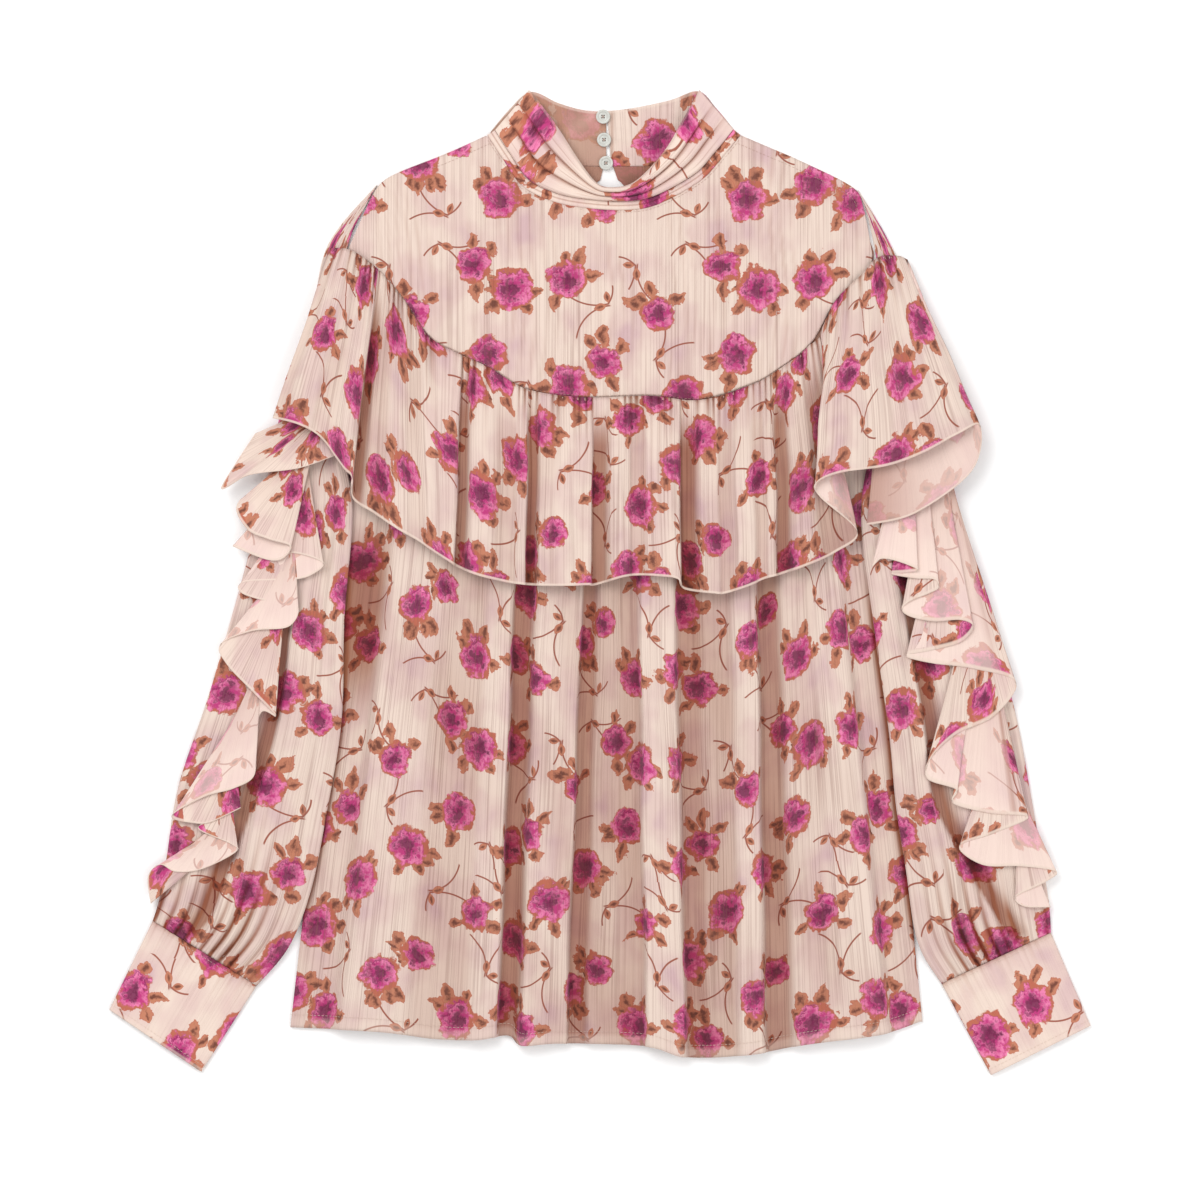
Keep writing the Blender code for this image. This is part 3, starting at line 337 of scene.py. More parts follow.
def cloth_map(along, down):
    """The cloth's own coordinates in metres: along and down, for each point of a grid."""
    grid_along, grid_down = np.broadcast_arrays(along, down)
    return np.stack((grid_along, -grid_down), axis=-1) * MM


def shell(name, points, cloth, thickness, closed, marks):
    """A closed cloth piece: rows of points in millimetres, with an even wall to both sides.

    closed joins the last column to the first, as round a sleeve. marks are shares for each point:
    shade, hem and underside are read by the cloth's finish, and where printed is 1 the underside
    shows the print as the face does.
    """
    rows, columns = points.shape[:2]
    if closed:
        across = np.roll(points, -1, axis=1) - np.roll(points, 1, axis=1)
    else:
        across = np.gradient(points, axis=1)
    normal = np.cross(np.gradient(points, axis=0), across)
    normal /= np.maximum(np.linalg.norm(normal, axis=-1, keepdims=True), 1e-9)
    half = np.broadcast_to(np.asarray(thickness, dtype=float) / 2, (rows, columns))[..., None]
    front = (points + normal * half).reshape(-1, 3)
    back = (points - normal * half).reshape(-1, 3)
    count = rows * columns

    row, col = np.meshgrid(np.arange(rows - 1), np.arange(columns if closed else columns - 1),
                           indexing="ij")

    def cells(width, beside):
        """The four corners of each cell, in a grid with this many points to a row."""
        corners = (row * width + col, (row + 1) * width + col,
                   (row + 1) * width + beside, row * width + beside)
        return np.stack(corners, axis=-1).reshape(-1, 4)

    quads, spots = cells(columns, (col + 1) % columns), cells(columns + 1, col + 1)
    faces = [quads, quads[:, ::-1] + count]
    maps = [spots, spots[:, ::-1]]

    def rim(row, col):
        """Faces between the two skins along a border, walked with the cloth on its left."""
        line, spots = row * columns + col % columns, row * (columns + 1) + col
        a, b, c, d = line[:-1], line[1:], spots[:-1], spots[1:]
        faces.append(np.stack((b, a, a + count, b + count), axis=-1))
        maps.append(np.stack((d, c, c, d), axis=-1))

    over, side = np.arange(columns + 1 if closed else columns), np.arange(rows)
    rim(rows - 1 + 0 * over, over)
    rim(0 * over, over[::-1])
    if not closed:
        rim(side, 0 * side)
        rim(side[::-1], columns - 1 + 0 * side)
    faces, maps = np.concatenate(faces), np.concatenate(maps)

    mesh = bpy.data.meshes.new(name)
    mesh.from_pydata(np.concatenate((front, back)) * MM, [], faces.tolist())
    spread = np.zeros((rows, columns + 1, 2))
    spread[:, :cloth.shape[1]] = cloth
    layer = mesh.uv_layers.new(name="Cloth")
    layer.data.foreach_set("uv", spread.reshape(-1, 2)[maps.reshape(-1)].ravel())
    shade, hem, underside, printed = (
        np.broadcast_to(marks.get(mark, 0), (rows, columns)).ravel()
        for mark in ("shade", "hem", "underside", "printed"))
    unprinted = np.concatenate((underside, 1 - underside)) * np.tile(1 - printed, 2)
    for mark, values in (("shade", np.tile(shade, 2)), ("hem", np.tile(hem, 2)),
                         ("underside", unprinted)):
        attribute = mesh.attributes.new(mark, "FLOAT", "POINT")
        attribute.data.foreach_set("value", values.astype(np.float32))
    mesh.shade_smooth()
    return finished(name, mesh)


def finished(name, data):
    """A piece's object, at the origin."""
    piece = bpy.data.objects.new(name, data)
    bpy.context.scene.collection.objects.link(piece)
    return piece


def baked(piece):
    """The plain mesh that an object's curve or modifiers make; the object is removed."""
    bpy.context.view_layer.update()
    mesh = bpy.data.meshes.new_from_object(
        piece.evaluated_get(bpy.context.evaluated_depsgraph_get()))
    mesh.name = piece.name
    bpy.data.objects.remove(piece)
    return mesh


def curve_through(name, lines, dimensions="3D"):
    """A curve of straight stretches through each line of points in millimetres."""
    curve = bpy.data.curves.new(name, "CURVE")
    curve.dimensions = dimensions
    for points in lines:
        spline = curve.splines.new("POLY")
        spline.points.add(len(points) - 1)
        for spot, place in zip(spline.points, points):
            spot.co = (*(Vector(place) * MM), 1)
    return curve


def flat_cut(name, outline, top, thickness):
    """A flat cloth piece cut to an outline, with its own cloth map."""
    curve = curve_through(name, [[(x, y, 0) for x, y in outline]], "2D")
    curve.fill_mode = "BOTH"
    curve.extrude = thickness / 2 * MM
    curve.splines[0].use_cyclic_u = True
    mesh = baked(finished(name, curve))
    work = bmesh.new()
    work.from_mesh(mesh)
    bmesh.ops.remove_doubles(work, verts=work.verts, dist=0.002 * MM)
    for vert in work.verts:
        vert.co.z += (top - thickness / 2) * MM
    layer = work.loops.layers.uv.get("Cloth") or work.loops.layers.uv.new("Cloth")
    for face in work.faces:
        for loop in face.loops:
            loop[layer].uv = loop.vert.co.xy
    work.to_mesh(mesh)
    work.free()
    mesh.materials.clear()
    for other in [layer for layer in mesh.uv_layers if layer.name != "Cloth"]:
        mesh.uv_layers.remove(other)
    return finished(name, mesh)


# --- Finishes --------------------------------------------------------------------------------

ROSES = (  # centres of the roses in one repeat
    (20, 30), (47, 18), (33, 78), (92, 46), (118, 62), (150, 20), (160, 96), (66, 112),
    (22, 146), (46, 162), (104, 138), (142, 168), (86, 198), (20, 222), (132, 232), (158, 216),
)
SPRIGS = (  # centres of the twigs and bud leaves between them
    (68, 62), (4, 112), (124, 108), (70, 232), (112, 8), (84, 164), (170, 148), (50, 204),
    (172, 52), (106, 248),
)
NUMBER_STEP = 1e-5  # a motif's number rides in the third axis, too small to matter there
PETALS = 5
# A row for each leaf of a motif: its turn, how far it turns on from one motif to the next, how far
# out it stands, and half its length and width
ROSE_LEAVES = (
    (0.3, 1.7, 19.4, 8.4, 5), (1.15, 1.7, 18.2, 7.2, 5.2), (3.3, 2.6, 17.8, 7, 4.2),
    (4.6, 0.9, 16.8, 6.2, 4.6),
)
BUD_LEAVES = ((0.2, 1.9, 6.2, 4.8, 2.8), (1.9, 1.9, 5.6, 4.2, 2.4))
# A row for each twig: its turn, the centre and radius of its circle, and its length
TWIGS = ((0, (10, 26), 27, 34), (0.44, (6, -34), 34, 31), (2.5, (4, 18), 18, 14))
TWIG_SPIN = 1.9
STEP = dict(interpolation_type="SMOOTHSTEP")  # MapRange as a smooth step from 0 to 1
PAINT = dict(output=2, data_type="RGBA")  # Mix as one colour over another


def linear(code):
    """An sRGB hex colour as linear RGB, with full alpha."""
    parts = [int(code[n:n + 2], 16) / 255 for n in (1, 3, 5)]
    return (*(c / 12.92 if c <= 0.04045 else ((c + 0.055) / 1.055) ** 2.4 for c in parts), 1)


def add(tree, kind, inputs=(), output=0, **settings):
    """Adds a node with its settings, fills or links its inputs, and gives one of its outputs.

    A calculation is named after its kind. inputs are in order, or a dict by place or name.
    """
    kind, _, operation = kind.partition(" ")
    node = tree.nodes.new(kind if "Node" in kind else "ShaderNode" + kind)
    if operation:
        node.operation = operation
    for name, value in settings.items():
        setattr(node, name, value)
    for place, value in inputs.items() if isinstance(inputs, dict) else enumerate(inputs):
        if isinstance(value, bpy.types.NodeSocket):
            tree.links.new(value, node.inputs[place])
        else:
            node.inputs[place].default_value = value
    return node.outputs[output] if node.outputs else None


def nearest_motif(tree, place, centres):
    """The way from the nearest of a repeat's centres to a place, and that motif's number."""
    half = (sized("repeat_width") / 2 * MM, sized("repeat_length") / 2 * MM, 1)
    best, least = None, None
    for number, (x, y) in enumerate(centres, start=1):
        centre = (x * MM, y * MM, -number * NUMBER_STEP)
        way = add(tree, "VectorMath SUBTRACT", (place, centre))
        way = add(tree, "VectorMath WRAP", (way, half, [-side for side in half]))
        length = add(tree, "VectorMath LENGTH", (way,), output=1)
        if best is None:
            best, least = way, length
            continue
        nearer = add(tree, "Math LESS_THAN", (length, least))
        best = add(tree, "Mix", {0: nearer, 4: best, 5: way}, output=1, data_type="VECTOR")
        least = add(tree, "Math MINIMUM", (length, least))
    depth = add(tree, "SeparateXYZ", (best,), output=2)
    number = add(tree, "Math MULTIPLY", (depth, 1 / NUMBER_STEP))
    return add(tree, "VectorMath MULTIPLY", (best, (1, 1, 0))), number


def turned_to(tree, way, number, spin, turn):
    """A way from a motif's centre, seen from a leaf or twig that turns on with each motif."""
    angle = add(tree, "Math MULTIPLY_ADD", (number, spin, turn))
    return add(tree, "VectorRotate", {0: way, 3: angle}, rotation_type="Z_AXIS")


def leaf(tree, way, number, turn, spin, reach, half_length, half_width):
    """How far inside a pointed leaf a place is: 1 on its spine, 0 on its edge, less outside."""
    turned = turned_to(tree, way, number, spin, turn)
    scaled = add(tree, "VectorMath MULTIPLY_ADD", (
        turned, (1 / (half_length * MM), 1 / (half_width * MM), 0), (-reach / half_length, 0, 0)))
    along = add(tree, "SeparateXYZ", (scaled,))
    across = add(tree, "Math ABSOLUTE", (along.node.outputs[1],))
    spent = add(tree, "Math MULTIPLY_ADD", (along, along, across))
    return add(tree, "Math SUBTRACT", (1, spent))


def twig(tree, way, number, turn, centre, radius, length):
    """How far inside a thin curved twig, a stretch of a circle's line, a place is."""
    turned = turned_to(tree, way, number, TWIG_SPIN, turn)
    off = add(tree, "VectorMath DISTANCE", (turned, (centre[0] * MM, centre[1] * MM, 0)), output=1)
    off = add(tree, "Math SUBTRACT", (off, radius * MM))
    off = add(tree, "Math ABSOLUTE", (off,))
    line = add(tree, "MapRange", (off, 0.8 * MM, 0.36 * MM), **STEP)
    half = length / 2 * MM
    short = add(tree, "VectorMath DISTANCE", (turned, (half, 0, 0)), output=1)
    short = add(tree, "MapRange", (short, half * 1.12, half), **STEP)
    return add(tree, "Math MULTIPLY", (line, short))


def largest(tree, shapes):
    """One shape from several."""
    whole = shapes[0]
    for shape in shapes[1:]:
        whole = add(tree, "Math MAXIMUM", (whole, shape))
    return whole


def print_group():
    """The rose print over cream, from the cloth's own coordinates in metres."""
    tints = bpy.context.scene.blouse_colours
    tree = bpy.data.node_groups.new("Rose print", "ShaderNodeTree")
    tree.interface.new_socket("Cloth", in_out="INPUT", socket_type="NodeSocketVector")
    tree.interface.new_socket("Colour", in_out="OUTPUT", socket_type="NodeSocketColor")
    place = add(tree, "NodeGroupInput")

    # dye creeps along the threads, so every outline is uneven
    crept = place
    for scale, detail, roughness, reach in ((85, 1, 0.5, (0.011, 0.011, 0)),
                                            (360, 3, 0.6, (0.0042, 0.0052, 0))):
        creep = add(tree, "TexNoise", {0: place, 2: scale, 3: detail, 4: roughness}, output=1)
        creep = add(tree, "VectorMath SUBTRACT", (creep, (0.5, 0.5, 0.5)))
        crept = add(tree, "VectorMath MULTIPLY_ADD", (creep, reach, crept))

    way, number = nearest_motif(tree, crept, ROSES)
    blotch = add(tree, "TexNoise", {0: place, 2: 190, 3: 4, 4: 0.62})
    grain = add(tree, "TexNoise", {0: place, 2: 520, 3: 2, 4: 0.6})
    size = add(tree, "Math MULTIPLY", (number, 0.618))
    size = add(tree, "Math FRACT", (size,))
    radius = sized("rose_radius") * MM
    size = add(tree, "MapRange", (size, 0, 1, radius * 0.82, radius * 1.14))
    length = add(tree, "VectorMath LENGTH", (way,), output=1)
    out = add(tree, "Math DIVIDE", (length, size))
    x = add(tree, "SeparateXYZ", (way,))
    round_it = add(tree, "Math ARCTAN2", (x.node.outputs[1], x))
    lobes = add(tree, "Math MULTIPLY_ADD", (round_it, PETALS, number))
    lobes = add(tree, "Math SINE", (lobes,))
    out = add(tree, "Math MULTIPLY_ADD", (lobes, -0.035, out))
    flower = add(tree, "MapRange", (out, 1.03, 0.96), **STEP)

    # blotched petals, with thin dark lines winding round the heart of the rose
    blotched = add(tree, "MapRange", (blotch, 0.4, 0.6), **STEP)
    rose = add(tree, "Mix", {0: blotched, 6: tints.rose_bright, 7: tints.rose_deep}, **PAINT)
    wind = add(tree, "Math MULTIPLY_ADD", (out, 9, round_it))
    wind = add(tree, "Math MULTIPLY_ADD", (blotch, 11, wind))
    wind = add(tree, "Math SINE", (wind,))
    lines = add(tree, "MapRange", (wind, 0.72, 0.98), **STEP)
    lines = add(tree, "Math MULTIPLY", (lines, 0.55))
    rose = add(tree, "Mix", {0: lines, 6: rose, 7: tints.rose_heart}, **PAINT)
    heart = add(tree, "Math MULTIPLY_ADD", (blotch, 1.7, out))
    heart = add(tree, "Math MULTIPLY_ADD", (grain, 0.5, heart))
    heart = add(tree, "MapRange", (heart, 1.72, 1.3), **STEP)
    heart = add(tree, "Math MULTIPLY", (heart, 0.85))
    rose = add(tree, "Mix", {0: heart, 6: rose, 7: tints.rose_heart}, **PAINT)
    side = add(tree, "Math MULTIPLY_ADD", (number, 2.3, round_it))
    side = add(tree, "Math SINE", (side,))
    fringe = add(tree, "Math MULTIPLY_ADD", (side, 0.08, out))
    fringe = add(tree, "Math MULTIPLY_ADD", (blotch, 1.1, fringe))
    fringe = add(tree, "MapRange", (fringe, 1.31, 1.47), **STEP)
    rose = add(tree, "Mix", {0: fringe, 6: rose, 7: tints.rust}, **PAINT)

    # leaves and sepals stand out from behind the rose, buds and twigs lie between the roses
    between_way, between_number = nearest_motif(tree, place, SPRIGS)
    leaves = largest(tree, [leaf(tree, way, number, *row) for row in ROSE_LEAVES]
                     + [leaf(tree, between_way, between_number, *row) for row in BUD_LEAVES])
    twigs = largest(tree, [twig(tree, between_way, between_number, *row) for row in TWIGS])

    # see-through cloth: the print of the layer below shows as soft lilac stains
    below = add(tree, "VectorMath MULTIPLY", (place, (34, 25, 0)))
    below = add(tree, "TexNoise", {0: below, 2: 1, 3: 2})
    pink = add(tree, "MapRange", (below, 0.4, 0.6), **STEP)
    ground = add(tree, "Mix", {0: pink, 6: tints.cream, 7: tints.cream_pink}, **PAINT)
    stain = add(tree, "MapRange", (below, 0.6, 0.74, 0, 0.6))
    ground = add(tree, "Mix", {0: stain, 6: ground, 7: tints.stain}, **PAINT)
    core = add(tree, "Math MULTIPLY_ADD", (blotch, 1.5, leaves))
    core = add(tree, "MapRange", (core, 1.1, 1.72), **STEP)
    core = add(tree, "Mix", {0: core, 6: tints.leaf, 7: tints.leaf_core}, **PAINT)
    rim = add(tree, "MapRange", (leaves, 0.16, 0.03), **STEP)
    core = add(tree, "Mix", {0: rim, 6: core, 7: tints.rust}, **PAINT)
    leafy = add(tree, "MapRange", (leaves, -0.05, 0.05), **STEP)
    colour = add(tree, "Mix", {0: twigs, 6: ground, 7: tints.twig}, **PAINT)
    colour = add(tree, "Mix", {0: leafy, 6: colour, 7: core}, **PAINT)
    colour = add(tree, "Mix", {0: flower, 6: colour, 7: rose}, **PAINT)
    add(tree, "NodeGroupOutput", (colour,))
    return tree


def new_finish(name):
    """An empty material and its node tree."""
    finish = bpy.data.materials.new(name)
    finish.use_nodes = True
    finish.node_tree.nodes.clear()
    return finish, finish.node_tree


def give_surface(tree, colour, relief, strength, depth, look):
    """Ends a finish with its colour, its fine relief and the way it takes light."""
    bump = add(tree, "Bump", {"Strength": strength, "Distance": depth, "Height": relief})
    surface = add(tree, "BsdfPrincipled", {"Base Color": colour, "Normal": bump, **look})
    add(tree, "OutputMaterial", (surface,))


def chiffon(name, crinkled=1, tint=None, tint_share=0, faded=0, light=0.86):
    """Crinkle chiffon: sheer polyester woven from overspun yarn, which dries in fine lengthwise
    crinkles. It has a dull, dry look, and its deep folds go warm and dark: partly because they lie
    double, and partly from painted shade that the shade mark lays into the colour.
    """
    finish, tree = new_finish(name)
    cloth = add(tree, "UVMap", uv_map="Cloth")
    roses = bpy.data.node_groups.get("Rose print") or print_group()
    colour = add(tree, "Group", (cloth,), node_tree=roses)
    shade, hem, underside = (add(tree, "Attribute", output=2, attribute_name=mark)
                             for mark in ("shade", "hem", "underside"))

    # crinkles: fine uneven lines along the warp, some light and some dark; their relief is in the
    # bump, and the dark lines are painted shade in their grooves
    stretched = add(tree, "VectorMath MULTIPLY", (cloth, (960, 8, 0)))
    crinkle = add(tree, "TexNoise", {0: stretched, 2: 1, 3: 1, 4: 0.5})
    crinkle = add(tree, "MapRange", (crinkle, 0.3, 0.56), **STEP)
    bands = add(tree, "VectorMath MULTIPLY", (cloth, (70, 4, 0)))
    bands = add(tree, "TexNoise", {0: bands, 2: 1, 3: 1})
    depth = add(tree, "MapRange", (bands, 0.35, 0.65, 0.14, 0.4))
    lines = add(tree, "Math SUBTRACT", (1, crinkle))
    lines = add(tree, "Math MULTIPLY", (lines, depth))
    plainer = add(tree, "MapRange", (underside, 0, 1, crinkled, crinkled * 0.3))
    lines = add(tree, "Math MULTIPLY", (lines, plainer))
    colour = add(tree, "Mix", {0: lines, 6: colour, 7: linear("#8E5F55")}, **PAINT)
    colour = add(tree, "VectorMath SCALE", {0: colour, 3: light})
    if tint:
        colour = add(tree, "Mix", {0: tint_share, 6: colour, 7: linear(tint)}, **PAINT)
    pale = add(tree, "Math MULTIPLY", (underside, faded))
    colour = add(tree, "Mix", {0: pale, 6: colour, 7: linear("#EFD5CC")}, **PAINT)
    # painted shade: where the shade mark is high, the colour is multiplied towards a warm brown
    dark = add(tree, "Mix", {0: 1, 6: colour, 7: linear("#A9745A")}, blend_type="MULTIPLY", **PAINT)
    colour = add(tree, "Mix", {0: shade, 6: colour, 7: dark}, **PAINT)
    hem = add(tree, "Math MULTIPLY", (hem, 0.8))
    colour = add(tree, "Mix", {0: hem, 6: colour, 7: linear("#E2CDBF")}, **PAINT)
    give_surface(tree, colour, crinkle, 0.35, 0.6 * MM, {
        "Roughness": 0.82, "Specular IOR Level": 0.25, "Sheen Weight": 0.12,
        "Sheen Roughness": 0.5})
    return finish


def smooth(name, code, roughness, grain, depth, spread=0.12):
    """A smooth finish with a slight cloudiness and grain, as shell, thread and paper have."""
    finish, tree = new_finish(name)
    place = add(tree, "TexCoord", output=3)
    cloud = add(tree, "TexNoise", {0: place, 2: grain, 3: 3})
    light = add(tree, "MapRange", (cloud, 0.3, 0.7, 1 - spread, 1 + spread * 0.5))
    colour = add(tree, "VectorMath SCALE", {0: linear(code)[:3], 3: light})
    give_surface(tree, colour, cloud, 0.3, depth, {"Roughness": roughness})
    return finish


FINISHES = {  # how each kind of piece is finished: the maker, and the name and looks it is given
    # dry, dull cloth in fine crinkles, whose underside shows the print washed out
    "outer": (chiffon, dict(name="printed crinkle chiffon", faded=0.66)),
    # two layers held flat by interlining: hardly a crinkle, and so a little lighter; its light
    # factor is raised too, a painted highlight
    "smooth": (chiffon, dict(name="printed crinkle chiffon, interlined", crinkled=0.15,
                             light=0.93)),
    # painted shade: a brownish tint, as in the shadow under the collar and the other pieces, with
    # the print showing through faintly
    "inner": (chiffon, dict(name="printed crinkle chiffon, inner face in painted shade", tint="#C9A38E",
                            tint_share=0.72)),
    # one airy layer, whose light factor is raised as a painted highlight, so it stays light however
    # it turns
    "ruffle": (chiffon, dict(name="printed crinkle chiffon, ruffle", faded=0.52, light=0.91)),
    # a cool, greyish white gloss with faint clouds
    "pearl": (smooth, dict(name="mother-of-pearl button", code="#C9C9C2", roughness=0.3,
                           grain=420, depth=5e-5)),
    # small dull strands, a shade darker than the cloth, or as pale as its ground
    "thread": (smooth, dict(name="polyester sewing thread", code="#B99A8C", roughness=0.7,
                            grain=2600, depth=5e-5)),
    "pale_thread": (smooth, dict(name="pale sewing thread", code="#D9C3B4", roughness=0.7,
                                 grain=2600, depth=5e-5)),
    # plain white without a gloss
    "paper": (smooth, dict(name="matt white paper", code="#FFFFFF", roughness=0.9, grain=60,
                           depth=2e-5, spread=0.004)),
}


def finish_for(key):
    """The material for a kind of piece, made once."""
    maker, looks = FINISHES[key]
    return bpy.data.materials.get(looks["name"]) or maker(**looks)


# --- Cloth pieces ----------------------------------------------------------------------------

BODY_LENGTH = 480
BODY_TOP_DROP = 6  # how far the body's top lies under the flounce's seam
BODY_TOP_Y = 165  # and no higher than this
BODY_HEM_Y = -330
STRAIGHT_ABOVE = -0.15  # share of the way from y 0 to the hem, above which folds run straight
FLAT_FOLDS = 0.08  # share of their height that the body's folds have at the seam
FOLDS_START_Y = 90
FOLDS_FULL_Y = -110
BODY_LIT = 9.6  # folds of this height get no shade in the cloth's colour
FLOUNCE_LENGTH = 140
FLOUNCE_SEAM_LIFT = 0.3  # the flounce starts so far above its seam
FLOUNCE_AT_SLEEVES = (-166, 186)  # x beyond which it lies over the sleeve heads
FLOUNCE_SEAM_Z = (3.8, 6.2)  # its height at its seam, over the body and over the sleeve heads
FLOUNCE_EDGE_Z = (10.8, 14.5)  # and in the valleys at its free edge
FLOUNCE_LIT = 8.4  # as BODY_LIT, for the flounce
COLLAR_DEPTH = 74
COLLAR_FOOT_Z = 3.4
COLLAR_PLEATS = 3
BACK_COLLAR_DEPTH = 40
CUFF_DEPTH = 66
RUFFLE_LENGTH = 60
RUFFLE_SEAM_Z = (9.8, 9)  # at the top and the lower end of its seam
SLEEVE_FOLDS_FROM = 3  # sections of a sleeve from which its long folds start to grow,
SLEEVE_FOLDS_GROW = 3  # over which they grow,
SLEEVE_FOLDS_FADE = 1.5  # and over which they fade out to the cuff
HIDDEN_CLOTH = 2.2  # a steep side of a fold stands for this many times its own depth of cloth

SEAM_LINE = at_share(FLOUNCE_SEAM, even(300))
HEM_LINE = at_share(HEM, even(200))


def sized(name):
    """One of the blouse's sizes, in millimetres."""
    return getattr(bpy.context.scene.blouse_sizes, name) / MM


def wrinkles(along, down, pitch, seed):
    """Fine lengthwise wrinkles between -1 and 1 that wander and come and go down the cloth."""
    drift = along + pitch * 0.22 * ripple(down, pitch * 14, seed + 1)
    return ripple(drift, pitch, seed) * (0.65 + 0.35 * ripple(down + 1.7 * along, pitch * 7,
                                                               seed + 2))


def gathers(along, down, reach, seed):
    """Height of the gathers under a seam at a distance down from it."""
    fade = np.exp(-down / reach) * ease(down / 2)
    return sized("gather_height") * fade * ripple(along, sized("gather_pitch"), seed)


def neck_points(share, inward):
    """Points of the neckline seam, moved by a distance into the neck opening."""
    run = at_share(NECK_SEAM, np.minimum(share + 0.01, 1)) - at_share(
        NECK_SEAM, np.maximum(share - 0.01, 0))
    run /= np.linalg.norm(run, axis=-1, keepdims=True)
    return at_share(NECK_SEAM, share) + np.stack((-run[..., 1], run[..., 0]), axis=-1) * inward


def joined(flat, height):
    """Points from their places seen from above and their heights."""
    flat, height = np.broadcast_arrays(flat, np.asarray(height)[..., None] * np.ones(2))
    return np.concatenate((flat, height[..., :1]), axis=-1)


def unfolded(points, level=0.7, closed=False):
    """How far along the cloth each column lies, with the cloth that its folds hide."""
    row = points[int(level * (len(points) - 1))]
    if closed:
        row = np.concatenate((row, row[:1]))
    steps = np.diff(row, axis=0)
    steps[:, 2] *= HIDDEN_CLOTH
    return np.concatenate(([0], np.cumsum(np.linalg.norm(steps, axis=1))))


def cut_of(points, closed=False):
    """Width, length and area in metres of the cloth that a grid of points is made of."""
    if closed:
        points = np.concatenate((points, points[:, :1]), axis=1)
    width = max(lengths_along(row)[-1] for row in points)
    length = max(lengths_along(points[:, n])[-1] for n in range(0, points.shape[1], 4))
    first = np.cross(points[1:, :-1] - points[:-1, :-1], points[:-1, 1:] - points[:-1, :-1])
    second = np.cross(points[1:, :-1] - points[1:, 1:], points[:-1, 1:] - points[1:, 1:])
    area = 0.5 * (np.linalg.norm(first, axis=-1).sum() + np.linalg.norm(second, axis=-1).sum())
    return width * MM, length * MM, area * MM * MM


def lay_down(piece, node, finish, cut):
    """Gives a cloth piece its finish, hangs it from the root body and hides the solid of its node;
    the cut's area is worked out but not kept.
    """
    width, length, area = cut
    piece.data.materials.append(finish_for(finish))
    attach(piece, "root")
    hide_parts(node)
    area = min(max(area, 0.3 * width * length), width * length)


def lay_cloth(name, node, points, cloth, rests_on, finish="outer", slot="floral_chiffon",
              held="laid", thickness=None, closed=False, **marks):
    """Makes a cloth piece from the points of its middle surface and lays it down."""
    thickness = sized("thickness") if thickness is None else thickness
    piece = shell(name, points, cloth, thickness, closed, marks)
    lay_down(piece, node, finish, cut_of(points, closed))


def hem_thickness(steps, roll):
    """Thickness of each row of a cloth that ends in a rolled hem."""
    cloth = sized("thickness")
    return np.array([cloth] * steps + [cloth, roll, roll, roll * 0.6])[:, None]


def hem_mark(steps, strength=1):
    """Marks the rows of a cloth's rolled hem."""
    return np.array([0] * steps + [0, 1, 1, 1])[:, None] * strength


def back_outline():
    """The back panel's outline with the keyhole cut in at the nape."""
    turn = np.radians(KEYHOLE_FROM - KEYHOLE_TURN * even(40))
    keyhole = np.stack((KEYHOLE_CENTRE[0] + KEYHOLE_RADIUS * np.cos(turn),
                        KEYHOLE_CENTRE[1] + KEYHOLE_RADIUS * np.sin(turn)), axis=-1)
    return list(BACK_OUTLINE) + [tuple(spot) for spot in keyhole.tolist()] + list(BACK_NECK_LEFT)


def build_back():
    """The back panel lies flat on the surface under everything else, inner face up."""
    outline = np.array(back_outline())
    piece = flat_cut("back_panel", outline, 1, 1)
    # painted shade over the whole panel, which lies under all the other pieces
    dark = piece.data.attributes.new("shade", "FLOAT", "POINT")
    dark.data.foreach_set("value", np.full(len(piece.data.vertices), 0.6, dtype=np.float32))
    wide, long = np.ptp(outline, axis=0) * MM
    x, y = outline[:, 0] * MM, outline[:, 1] * MM
    area = abs(np.sum(x * np.roll(y, -1) - y * np.roll(x, -1))) / 2
    lay_down(piece, "back_body", "inner", (wide, long, area))


def build_back_collar(name, edges, node, slot, finish, painted_shade_at, seed):
    """Half of the back collar, flat on the surface between its top edge and the nape seam."""
    share = even(90)[None, :]
    down = 1 - down_to_hem(34, BACK_COLLAR_DEPTH)[::-1, None]
    top = at_share(edges[0], share)
    low = at_share(edges[1], share)
    flat = mix(top, low, down[..., None])
    wave = ripple(share * 92 + down * 20, 22, seed) * 0.25
    crease = ripple(flat[..., 1] + flat[..., 0] * 0.2, 11, seed + 5) * 0.2
    points = joined(flat, BACK_Z + 0.35 + wave + crease)
    cloth = cloth_map(unfolded(points) + seed * 31, down * 42 + seed * 12)
    lay_cloth(name, node, points, cloth, ["floor"], finish, slot,
              thickness=np.array([0.8, 1, 1, 0.5] + [0.5] * 34)[:, None],
              shade=painted_shade_at(flat[..., 0], flat[..., 1]),
              underside=1 if finish == "inner" else 0,
              hem=np.array([0.5, 0.5, 0.5, 0] + [0] * 34)[:, None])


def nape_shade_left(x, y):
    """The inner face lies in the collar's shadow, with a band across it that catches light."""
    shadow = 0.62 * ease((318 - y - 0.35 * (x + 40)) / 34)
    return 0.3 + shadow - 0.27 * bell(y - 0.68 * (x + 12), 331, 6.5)


def nape_shade_right(x, y):
    """The outer face gets painted shade only along its edge under the buttons."""
    return 0.5 * bell(x, 8.6, 1.2) + 0 * y


